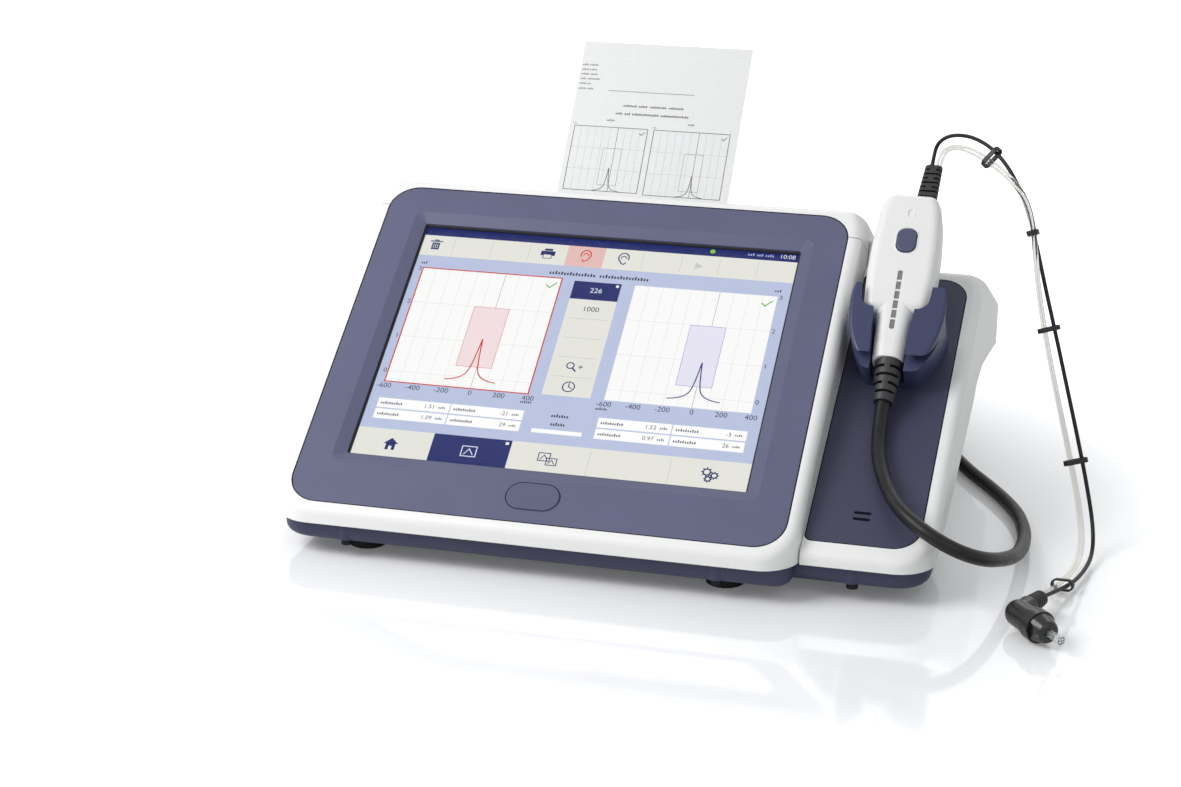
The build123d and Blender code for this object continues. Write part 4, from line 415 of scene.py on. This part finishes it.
# Flat drawings
class Drawing:
    """flat coloured shapes on a plane of the part; sizes in millimetres"""

    def __init__(self, name, origin, across, up, step):
        self.name = name
        self.origin, self.across, self.up = Vector(origin), Vector(across), Vector(up)
        self.out = self.across.cross(self.up)
        self.step = step
        self.mesh = bmesh.new()
        self.ink = self.mesh.loops.layers.float_color.new("ink")

    def place(self, u, v, layer):
        """point of the drawing in the part's own metres"""
        return (self.origin + self.across * u + self.up * v + self.out * (self.step * layer)) * MM

    def paint(self, faces, colour):
        for face in faces:
            for loop in face.loops:
                loop[self.ink] = (*colour, 1)

    def patch(self, corners, colour, layer):
        verts = [self.mesh.verts.new(self.place(u, v, layer)) for u, v in corners]
        self.paint([self.mesh.faces.new(verts)], colour)

    def outline(self, left, low, right, high, width, colour, layer):
        corners = [(left, low), (right, low), (right, high), (left, high)]
        self.stroke(corners, width, colour, layer, closed=True)

    def box(self, left, low, right, high, colour, layer):
        self.patch([(left, low), (right, low), (right, high), (left, high)], colour, layer)

    def stroke(self, points, width, colour, layer, closed=False):
        """line of even width through the points"""
        pairs = list(zip(points, points[1:] + points[:1] if closed else points[1:]))
        for (ua, va), (ub, vb) in pairs:
            length = math.hypot(ub - ua, vb - va)
            if length == 0:
                continue
            du, dv = (ub - ua) / length * width / 2, (vb - va) / length * width / 2
            self.patch([(ua - du + dv, va - dv - du), (ub + du + dv, vb + dv - du),
                        (ub + du - dv, vb + dv + du), (ua - du - dv, va - dv + du)], colour, layer)

    def disc(self, u, v, radius, colour, layer, sides=20):
        turns = [2 * math.pi * k / sides for k in range(sides)]
        self.patch([(u + radius * math.cos(t), v + radius * math.sin(t)) for t in turns], colour, layer)

    def arc(self, u, v, radius, start, end, width, colour, layer, sides=14, tall=1.0):
        turns = [math.radians(start + (end - start) * k / sides) for k in range(sides + 1)]
        points = [(u + radius * math.cos(t), v + radius * tall * math.sin(t)) for t in turns]
        self.stroke(points, width, colour, layer)

    def figures(self, text, u, v, tall, colour, layer, side="CENTER"):
        """plain figures, such as an axis value"""
        face = bpy.data.curves.new("figures", "FONT")
        face.body, face.size, face.align_x, face.align_y = text, tall * 1.4, side, "CENTER"
        face.resolution_u = 3
        holder = bpy.data.objects.new("figures", face)
        bpy.context.scene.collection.objects.link(holder)
        bpy.context.view_layer.update()
        flat = bpy.data.meshes.new_from_object(holder)
        for vertex in flat.vertices:
            vertex.co = self.place(u + vertex.co.x, v + vertex.co.y, layer)
        before = len(self.mesh.faces)
        self.mesh.from_mesh(flat)
        self.mesh.faces.ensure_lookup_table()
        self.paint(self.mesh.faces[before:], colour)
        bpy.data.objects.remove(holder)
        bpy.data.meshes.remove(flat)
        bpy.data.curves.remove(face)

    def words(self, spans, v, tall, colour, layer):
        """rows of small upright marks that stand for lines of small print"""
        for left, right in spans:
            count = max(2, round((right - left) / (0.72 * tall)))
            pitch = (right - left) / count
            for k in range(count):
                high = tall * (0.72, 0.72, 1.05, 0.72, 0.95)[k % 5]
                start = left + k * pitch
                self.box(start, v - 0.5 * tall, start + 0.6 * pitch, v - 0.5 * tall + high, colour, layer)

    def made(self, material, body):
        mesh = bpy.data.meshes.new(self.name)
        self.mesh.to_mesh(mesh)
        self.mesh.free()
        mesh.materials.append(material)
        piece = bpy.data.objects.new(self.name, mesh)
        bpy.context.scene.collection.objects.link(piece)
        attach(piece, body)
        return piece


def response(centre, base, peak, spread_out, half, count=40):
    """pressure curve: a narrow spike on a flared foot"""
    points = []
    for k in range(count + 1):
        share = 2 * k / count - 1
        away = math.copysign(abs(share) ** 1.7, share) * half
        foot = 0.4 * math.exp(-abs(away) / spread_out)
        spike = 0.6 * math.exp(-(abs(away) / (0.3 * spread_out)) ** 1.4)
        points.append((centre + away, base + (peak - base) * (foot + spike)))
    return points


def screen_graph(art, left, low, right, high, centre, peak, box, line, fill, edge, numbers_right):
    """one graph of the screen: grid, normal area, pressure curve, tick and axis figures"""
    white, grey, ink = tone(248, 248, 247), tone(222, 222, 222), tone(40, 42, 54)
    art.box(left, low, right, high, white, 1)
    columns, heavy_column = 10, 6
    step = (right - left) / columns
    levels = [low + (high - low) * share for share in (0.0915, 0.393, 0.695)]
    for k in range(1, columns):
        heavy = k == heavy_column
        art.stroke([(left + k * step, low), (left + k * step, high)], 0.3 if heavy else 0.2,
                   tone(176, 176, 176) if heavy else grey, 2)
    for level in levels:
        art.stroke([(left, level), (right, level)], 0.2, grey, 2)
    art.box(*box, fill, 3)
    art.outline(*box, 0.25, edge, 4)
    art.stroke(response(centre, low + 3.6, peak, 3.6, 11.2), 0.55, line, 5)
    art.stroke([(right - 6.2, high - 4.4), (right - 4.6, high - 5.8), (right - 1.9, high - 2.9)], 0.6,
               tone(96, 178, 60), 5)
    for k in range(6):
        art.figures(str(200 * k - 600), left + 2 * k * step + 0.4, low - 2.3, 2.6, ink, 2)
    for value, level in enumerate(levels + [high - 0.6]):
        u = right + 1.5 if numbers_right else left - 1.4
        art.figures(str(value), u, level, 2.4, ink, 2)


def screen_picture():
    """what the screen shows, drawn just above the panel under the glass"""
    panel_sink, panel_aside, panel_lower, layer_step = 5.19, 1.2, 1.6, 0.02
    up, out = leaning(display_lean)
    origin = display_origin - out * panel_sink + sideways * panel_aside - up * panel_lower
    art = Drawing("screen_picture", origin, sideways, up, layer_step)
    navy, beige, blue = tone(32, 42, 104), tone(227, 227, 219), tone(184, 194, 222)
    ink, rule, white = tone(52, 56, 72), tone(202, 202, 198), tone(252, 252, 252)
    red, pale_red = tone(204, 56, 42), tone(226, 186, 182)
    low, high, left, right = -64.4, 67.4, -89.0, 87.0
    art.box(left, low, right, high, blue, 0)
    art.box(left, 62.2, right, high, navy, 1)
    art.box(left, 50.4, right, 62.2, beige, 1)
    art.disc(45.5, 64.9, 1.2, tone(132, 200, 62), 2)
    art.figures("10:08", 79.0, 64.8, 2.3, tone(220, 224, 240), 2)
    art.words([(61.5, 64.6), (65.4, 68.4), (69.2, 73.2)], 64.8, 1.3, tone(170, 178, 214), 2)
    art.box(-19.4, 50.4, -2.2, 62.2, pale_red, 2)
    for u in (-72.3, -54.5, -36.8, 15.4, 32.8, 49.9, 67.0):
        art.stroke([(u, 52.0), (u, 60.8)], 0.25, rule, 2)
    # Tool bar: bin, printer, the two ears, start
    art.box(-82.6, 54.0, -79.0, 58.0, navy, 3)
    art.stroke([(-83.4, 58.8), (-78.2, 58.8)], 0.6, navy, 3)
    art.stroke([(-81.6, 59.5), (-80.0, 59.5)], 0.6, navy, 3)
    for u in (-81.7, -80.8, -79.9):
        art.stroke([(u, 54.8), (u, 57.2)], 0.28, beige, 4)
    art.box(-31.4, 55.4, -24.8, 58.0, navy, 3)
    art.box(-30.0, 58.2, -26.2, 59.4, navy, 3)
    art.box(-30.0, 53.8, -26.2, 55.9, beige, 4)
    art.outline(-30.0, 53.8, -26.2, 56.2, 0.35, navy, 5)
    for u, side, colour in ((-10.6, 1, red), (6.7, -1, navy)):
        art.arc(u, 57.4, 2.3, 90 - 120 * side, 90 + 110 * side, 0.55, colour, 3, tall=1.15)
        art.arc(u, 57.2, 1.1, 90 - 100 * side, 90 + 90 * side, 0.45, colour, 3)
        art.stroke([(u + side * 1.9, 56.0), (u + side * 0.7, 54.2), (u - side * 0.5, 53.6),
                    (u - side * 1.3, 54.5)], 0.55, colour, 3)
    art.patch([(39.3, 53.9), (42.7, 55.9), (39.3, 57.9)], tone(200, 200, 196), 3)
    # Title line and the two graphs
    art.words([(-24.8, -3.4), (-1.8, 20.8)], 46.0, 1.9, ink, 2)
    screen_graph(art, -83.0, -21.7, -18.2, 43.0, -45.4, 5.3, (-53.7, -10.0, -37.6, 23.2), red,
                 tone(240, 220, 222), tone(214, 120, 118), False)
    art.outline(-83.0, -21.7, -18.2, 43.0, 0.6, red, 5)
    screen_graph(art, 15.2, -21.2, 78.6, 42.3, 53.0, 2.8, (44.0, -10.0, 59.6, 22.8), tone(62, 74, 128),
                 tone(228, 226, 240), tone(140, 158, 214), True)
    art.words([(-84.6, -81.6)], 46.0, 1.3, ink, 2)
    art.words([(76.9, 80.0)], 45.4, 1.3, ink, 2)
    art.words([(-20.6, -15.4), (12.6, 17.8)], -26.0, 1.3, ink, 2)
    # Middle column
    art.box(-12.4, -21.1, 9.1, 42.3, beige, 1)
    art.box(-12.4, 32.2, 9.1, 42.3, navy, 2)
    art.disc(7.4, 40.8, 0.75, white, 3)
    art.figures("226", -1.5, 37.4, 2.7, tone(226, 230, 244), 3)
    art.figures("1000", -1.5, 26.8, 2.7, ink, 3)
    for v in (21.4, 10.6, 0.0, -10.7):
        art.stroke([(-10.2, v), (7.0, v)], 0.28, rule, 2)
    art.arc(-3.4, -4.6, 1.6, 0, 360, 0.5, navy, 3)
    art.stroke([(-2.3, -5.8), (-0.8, -7.4)], 0.7, navy, 3)
    art.stroke([(0.4, -5.0), (2.0, -5.0)], 0.4, navy, 3)
    art.stroke([(1.2, -5.8), (1.2, -4.2)], 0.4, navy, 3)
    art.arc(-1.6, -16.0, 2.6, 0, 360, 0.5, navy, 3, sides=20)
    art.stroke([(-1.6, -16.0), (-1.6, -14.2)], 0.45, navy, 3)
    art.stroke([(-1.6, -16.0), (-0.2, -16.8)], 0.45, navy, 3)
    # Value boxes and status line
    for start, split, end, values in ((-82.8, -50.4, -17.6, ("1.51", "-21", "1.09", "29")),
                                      (15.1, 47.0, 79.0, ("1.52", "-3", "0.97", "26"))):
        cells = ((start, split, -35.7, -30.6), (split + 0.5, end, -35.7, -30.6),
                 (start, split, -41.6, -36.4), (split + 0.5, end, -41.6, -36.4))
        for (a, b, c, d), value in zip(cells, values):
            art.box(a, c, b, d, white, 1)
            art.words([(a + 1.4, a + 11.4)], (c + d) / 2, 1.4, tone(84, 86, 98), 2)
            art.figures(value, b - 6.4, (c + d) / 2, 2.1, ink, 2, "RIGHT")
            art.words([(b - 4.9, b - 1.6)], (c + d) / 2, 1.2, tone(84, 86, 98), 2)
    art.words([(-5.4, 2.4)], -31.8, 1.6, ink, 2)
    art.words([(-4.8, 1.8)], -36.2, 1.6, ink, 2)
    art.box(-12.2, -41.3, 9.8, -39.2, white, 1)
    # Bottom bar: home, single test, both tests, settings
    art.box(left, low, right, -46.7, beige, 1)
    art.box(-53.2, low, -18.7, -46.7, navy, 2)
    art.disc(-20.7, -48.4, 0.8, white, 3)
    for u in (15.8, 50.4):
        art.stroke([(u, -61.0), (u, -48.4)], 0.25, rule, 2)
    art.patch([(-74.2, -54.2), (-67.6, -54.2), (-70.9, -51.2)], navy, 3)
    art.box(-73.0, -57.4, -68.8, -54.2, navy, 3)
    art.box(-71.6, -57.4, -70.2, -55.4, beige, 4)
    for u, v, size, colour in ((-36.2, -54.3, 3.2, tone(226, 230, 244)), (-3.4, -53.4, 2.5, navy),
                               (0.2, -55.6, 2.2, navy)):
        if size < 2.4:
            art.box(u - size, v - size * 0.8, u + size, v + size * 0.8, beige, 4)
        art.outline(u - size, v - size * 0.8, u + size, v + size * 0.8, 0.42, colour, 5)
        peak = [(u - size * 0.6, v - size * 0.5), (u, v + size * 0.4), (u + size * 0.6, v - size * 0.5)]
        art.stroke(peak, 0.38, colour, 5)
    for u, v, radius in ((66.0, -52.9, 1.5), (69.4, -54.4, 1.25), (67.0, -56.3, 1.1)):
        art.arc(u, v, radius, 0, 360, 0.6, navy, 3, sides=16)
        teeth, reach = 8, radius * 1.45
        for k in range(teeth):
            turn = 2 * math.pi * k / teeth
            art.stroke([(u + radius * math.cos(turn), v + radius * math.sin(turn)),
                        (u + reach * math.cos(turn), v + reach * math.sin(turn))], 0.5, navy, 3)
    return art.made(screen_ink, "console")


def printed_graph(art, left, right, low, high, centre, peak, box):
    """one graph of the print-out, without axis figures"""
    ink, faint, middle = tone(70, 70, 72), tone(190, 190, 190), tone(140, 140, 140)
    columns, heavy_column = 10, 6
    step = (right - left) / columns
    for k in range(1, columns):
        heavy = k == heavy_column
        art.stroke([(left + k * step, low), (left + k * step, high)], 0.22 if heavy else 0.14,
                   tone(110, 110, 112) if heavy else faint, 0)
    for share in (1 / 3, 2 / 3):
        v = low + (high - low) * share
        art.stroke([(left - 0.5, v), (right + 0.4, v)], 0.14, faint, 1)
    art.outline(left, low, right, high, 0.28, tone(96, 96, 98), 2)
    art.outline(*box, 0.16, middle, 2)
    art.stroke(response(centre, low, peak, 1.9, 6.0), 0.26, ink, 3)
    art.stroke([(right - 3.6, high - 2.5), (right - 2.7, high - 3.2), (right - 1.2, high - 1.6)], 0.3, ink, 3)
    art.words([(left - 0.8, left + 1.0)], high + 1.2, 0.7, middle, 0)


def paper_print():
    """print-out on the front of the paper strip"""
    print_lift, layer_step = 0.15, 0.015
    up, out = leaning(paper_lean)
    art = Drawing("paper_print", paper_origin + out * print_lift, sideways, up, layer_step)
    ink, soft = tone(58, 58, 60), tone(112, 112, 114)
    for k, (v, end) in enumerate(((66.6, -31.2), (64.1, -31.6), (61.7, -31.0), (59.3, -29.4), (56.8, -33.2),
                                  (54.2, -31.6))):
        split = -35.4 + 0.5 * (k % 3)
        art.words([(-38.8, split - 0.5), (split, end)], v, 0.95, soft, 0)
    art.stroke([(-24.3, 53.7), (16.0, 53.7)], 0.3, tone(130, 130, 132), 0)
    art.words([(-16.0, -9.6), (-8.8, -4.6), (-3.4, 4.4), (5.4, 12.6)], 46.4, 1.15, ink, 0)
    art.words([(-19.0, -15.6), (-14.8, -12.0), (-11.2, 1.4), (2.2, 15.4)], 42.3, 1.15, ink, 0)
    art.words([(-22.6, -18.6), (15.6, 18.8)], 38.6, 1.0, soft, 0)
    printed_graph(art, -37.2, -2.6, 2.6, 35.0, -17.5, 14.4, (-21.8, 5.8, -13.0, 24.3))
    printed_graph(art, 0.3, 35.8, 2.1, 34.9, 21.4, 12.8, (16.3, 5.1, 25.2, 23.7))
    return art.made(printer_ink, "strip")


# Handle trim, and painted seam shadows at the joints
def flat_ring(width, height, left_corner, right_corner, rim):
    """flat ring with rounded corners round the origin, sizes in millimetres"""
    bm = bmesh.new()
    corners = [(-width, -height), (width, -height), (width, height), (-width, height)]
    ends = [bm.verts.new((x * MM / 2, y * MM / 2, 0)) for x, y in corners]
    bm.faces.new(ends)
    for pair, corner in (((ends[0], ends[3]), left_corner), ((ends[1], ends[2]), right_corner)):
        bmesh.ops.bevel(bm, geom=list(pair), offset=corner * MM, segments=10, profile=0.5, affect="VERTICES",
                        material=-1)
    middle = bm.faces[:]
    bmesh.ops.inset_individual(bm, faces=middle, thickness=rim * MM, use_even_offset=True)
    bmesh.ops.delete(bm, geom=middle, context="FACES_ONLY")
    return bm


def raise_ring(bm, tall):
    """gives a flat ring its height and returns its upper points"""
    made = bmesh.ops.extrude_face_region(bm, geom=bm.faces[:], use_keep_orig=True)
    raised = [item for item in made["geom"] if isinstance(item, bmesh.types.BMVert)]
    bmesh.ops.translate(bm, vec=(0, 0, tall * MM), verts=raised)
    bmesh.ops.recalc_face_normals(bm, faces=bm.faces[:])
    return raised


def set_in_plane(bm, name, origin, along, out, material, body):
    """turns a shape into its plane on the part and makes a piece of it"""
    turn = Matrix((sideways, along, out)).transposed().to_4x4()
    bmesh.ops.transform(bm, matrix=Matrix.Translation(origin * MM) @ turn, verts=bm.verts[:])
    mesh = bpy.data.meshes.new(name)
    bm.to_mesh(mesh)
    bm.free()
    mesh.materials.append(material)
    piece = bpy.data.objects.new(name, mesh)
    bpy.context.scene.collection.objects.link(piece)
    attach(piece, body)
    return mesh


def oval_rim(name, place, width, height, corner, rim, proud):
    """thin raised lip round an opening in the front of the handle"""
    bm = flat_ring(width, height, corner, corner, rim)
    raised = set(raise_ring(bm, 2 * proud))
    tops = [edge for edge in bm.edges if all(vert in raised for vert in edge.verts) and
            len(edge.link_faces) == 2 and abs(edge.link_faces[0].normal.dot(edge.link_faces[1].normal)) < 0.5]
    bmesh.ops.bevel(bm, geom=tops, offset=0.3 * rim * MM, segments=2, profile=0.5, affect="EDGES",
                    material=-1)
    bmesh.ops.recalc_face_normals(bm, faces=bm.faces[:])
    origin = grip_origin + sideways * place[0] + grip_along * place[1] - grip_out * proud
    mesh = set_in_plane(bm, name, origin, grip_along, grip_out, trim_white, "handle")
    for face in mesh.polygons:
        face.use_smooth = True


def joint_line(name, origin, lean, middle, width, height, left_corner, right_corner):
    """painted shadow at the bottom of the narrow joint between a slate cover and the white shell round it: a
    thin dark ring standing in for the shade in the seam
    """
    along, out = leaning(lean)
    beyond, under, low, thick = 0.35, 0.35, 0.12, 0.3
    bm = flat_ring(width + 2 * beyond, height + 2 * beyond, left_corner + beyond, right_corner + beyond,
                   beyond + under)
    raise_ring(bm, thick)
    foot = origin + along * middle - out * (low + thick)
    set_in_plane(bm, name, foot, along, out, seam_shadow_black, "console")


def lamp_ends():
    """rounded ends of the row of lamps"""
    lift, layer_step, half_width, end_long, sides = 0.03, 0.02, 1.05, 0.8, 12
    art = Drawing("lamp_ends", grip_origin + grip_out * lift, sideways, grip_along, layer_step)
    for along, side in ((41.2, 1), (13.8, -1)):
        turns = [math.pi * k / sides for k in range(sides + 1)]
        rim = [(side * half_width * math.cos(turn), along + side * end_long * math.sin(turn))
               for turn in turns]
        art.patch(rim, tone(112, 112, 113), 0)
    art.made(printer_ink, "handle")


screen_picture()
paper_print()
oval_rim("key_rim", (0.5, 57.1), 9.8, 13.6, 4.3, 0.4, 0.22)
oval_rim("grip_mark_rim", (0.5, 70.9), 3.2, 5.6, 1.55, 0.24, 0.12)
lamp_ends()
# thin dark rings laid in as painted shadow at the bottom of the seams round the bezel and the cradle plate
joint_line("bezel_seam_shadow_line", display_origin, display_lean, -3.75, 211.0, 175.9, 13.0, 13.0)
joint_line("cradle_seam_shadow_line", cradle_origin, cradle_lean, 77.25, 45.7, 154.5, 3.0, 11.0)


# Cords
def route_curve(name, points, radius):
    """smooth round cord through a route's points, in metres"""
    curve = bpy.data.curves.new(name, "CURVE")
    curve.dimensions = "3D"
    spline = curve.splines.new("NURBS")
    spline.points.add(len(points) - 1)
    for point, place in zip(spline.points, points):
        point.co = (*place, 1.0)
    steps, sides = 8, 5
    spline.order_u = 3
    spline.use_endpoint_u = True
    spline.resolution_u = steps
    curve.resolution_u = steps
    curve.bevel_resolution = sides
    curve.use_fill_caps = True
    piece = bpy.data.objects.new(name, curve)
    bpy.context.scene.collection.objects.link(piece)
    bpy.context.view_layer.update()
    bare = bpy.data.meshes.new_from_object(piece)
    path = [tuple(vertex.co) for vertex in bare.vertices]
    bpy.data.meshes.remove(bare)
    curve.bevel_depth = radius
    bpy.context.view_layer.update()
    return piece, path


cable_route = [
    (0.1062, -0.0406, 0.06295), (0.1062, -0.0495, 0.0549), (0.1084, -0.0645, 0.0482),
    (0.1129, -0.0765, 0.043), (0.1186, -0.0885, 0.0392), (0.1262, -0.0985, 0.0364),
    (0.1362, -0.1056, 0.0328), (0.1475, -0.1066, 0.0278), (0.1566, -0.0985, 0.0222),
    (0.1624, -0.083, 0.0164), (0.1662, -0.064, 0.0106), (0.1674, -0.044, 0.0066),
    (0.1664, -0.024, 0.0046), (0.162, -0.003, 0.0036), (0.1545, 0.014, 0.0033), (0.1452, 0.03, 0.0033),
    (0.134, 0.047, 0.0033), (0.1234, 0.0676, 0.0033), (0.1184, 0.088, 0.0033), (0.1126, 0.107, 0.0033),
    (0.1042, 0.1256, 0.0033), (0.0956, 0.1434, 0.0033), (0.089, 0.162, 0.0033), (0.089, 0.176, 0.0033)]
tail_route = [
    (0.011, 0.176, 0.0108), (0.011, 0.163, 0.0108), (0.011, 0.1445, 0.0218), (0.011, 0.131, 0.0218)]
lead_route = [
    (0.1111, 0.0467, 0.1438), (0.1111, 0.0504, 0.1472), (0.1123, 0.0506, 0.1524),
    (0.1164, 0.0466, 0.1568), (0.1226, 0.0404, 0.1596), (0.1308, 0.0326, 0.1604), (0.1398, 0.024, 0.1578),
    (0.1484, 0.016, 0.1506), (0.1556, 0.0094, 0.139), (0.161, 0.0046, 0.1246), (0.166, 0.0006, 0.1076),
    (0.1722, -0.0044, 0.088), (0.1786, -0.0096, 0.067), (0.185, -0.0149, 0.046), (0.1904, -0.0194, 0.027),
    (0.1944, -0.0246, 0.0114), (0.1956, -0.035, 0.0034), (0.1938, -0.051, 0.0022),
    (0.1898, -0.068, 0.0029), (0.1846, -0.0828, 0.0054), (0.1796, -0.0944, 0.0069)]
air_route = [
    (0.1134, 0.04483, 0.14384), (0.1136, 0.04793, 0.14664), (0.1158, 0.04813, 0.15104),
    (0.1206, 0.0418, 0.1542), (0.1274, 0.0342, 0.1558), (0.135, 0.026, 0.1548), (0.1426, 0.0184, 0.1522),
    (0.15, 0.0112, 0.1486), (0.1564, 0.0052, 0.1424), (0.1604, 0.0014, 0.132), (0.1624, -0.0004, 0.118),
    (0.165, -0.0026, 0.102), (0.17, -0.0066, 0.082), (0.176, -0.0114, 0.061), (0.182, -0.0162, 0.041),
    (0.1874, -0.0206, 0.0224), (0.191, -0.028, 0.0086), (0.1914, -0.04, 0.003), (0.1894, -0.055, 0.0024),
    (0.1858, -0.07, 0.0033), (0.1818, -0.0834, 0.0056), (0.1781, -0.0938, 0.0076)]
air_route_b = [
    (0.1149, 0.04483, 0.14384), (0.1153, 0.0482, 0.1469), (0.1174, 0.0479, 0.1508),
    (0.1222, 0.0419, 0.1532), (0.1278, 0.0334, 0.1541), (0.1344, 0.0252, 0.1535), (0.142, 0.0174, 0.1511),
    (0.1493, 0.0101, 0.1476), (0.1555, 0.004, 0.1418), (0.1595, 0.0002, 0.1318), (0.1615, -0.0016, 0.118),
    (0.1641, -0.0038, 0.102), (0.1691, -0.0078, 0.082), (0.1751, -0.0126, 0.061),
    (0.1811, -0.0174, 0.041), (0.1864, -0.0219, 0.0222), (0.1896, -0.0288, 0.0084),
    (0.1899, -0.0404, 0.003), (0.1879, -0.055, 0.0022), (0.1843, -0.0698, 0.0029),
    (0.1805, -0.083, 0.0044), (0.1784, -0.0939, 0.0058)]
cable_radius, lead_radius, air_radius = 0.003, 0.00085, 0.00065
coil_x, coil_y, coil_outer, coil_pitch = 0.05, 0.182, 0.039, 0.0075
coil_rest, coil_layer, coil_halves, coil_points = 0.0033, 0.0075, 4, 8


def coil_turns():
    """loops in and out again, one layer on the other, as points of the cord's own line"""
    marks = []
    for k in range(2 * coil_halves + 2):
        step = k if k <= coil_halves else 2 * coil_halves + 1 - k
        side = 1 if k % 2 == 0 else -1
        marks.append((coil_x + side * (coil_outer - step * coil_pitch / 2),
                      coil_rest if k <= coil_halves else coil_rest + coil_layer))
    reach = 1 / math.cos(math.pi / (2 * coil_points))
    points = []
    for k in range(len(marks) - 1):
        (xa, za), (xb, zb) = marks[k], marks[k + 1]
        centre, radius, side = (xa + xb) / 2, abs(xb - xa) / 2, 1 if k % 2 == 0 else -1
        for i in range(coil_points):
            share = (i + 0.5) / coil_points
            turn = math.pi * share
            x = centre + (1 if xa > xb else -1) * radius * reach * math.cos(turn)
            points.append((x, coil_y + side * radius * reach * math.sin(turn), za + (zb - za) * share))
    return points


def handle_cable():
    """thick cable from the handle round the right side to its coil and socket behind"""
    points = cable_route + coil_turns() + tail_route
    curve, path = route_curve("handle_cable_line", points, cable_radius)
    mesh = bpy.data.meshes.new_from_object(curve)
    cable = bpy.data.objects.new("handle_cable", mesh)
    bpy.context.scene.collection.objects.link(cable)
    bpy.data.objects.remove(curve)
    mesh.materials.clear()
    mesh.materials.append(cable_rubber)
    for face in mesh.polygons:
        face.use_smooth = True
    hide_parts("main_cable", "main_cable_coil", "main_cable_tail")
    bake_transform(cable)


def thin_cord(name, route, radius, material, node):
    """thin lead or clear tube that hangs from the top of the handle to the probe head"""
    cord, path = route_curve(name, route, radius)
    cord.data.materials.append(material)
    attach(cord, "handle")
    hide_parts(node)


handle_cable()
thin_cord("probe_lead_cord", lead_route, lead_radius, cable_rubber, "probe_lead")
thin_cord("air_tube_front", air_route, air_radius, silicone, "air_tubes")
thin_cord("air_tube_back", air_route_b, air_radius, silicone, "air_tubes")

bpy.context.scene.view_settings.view_transform = "Standard"
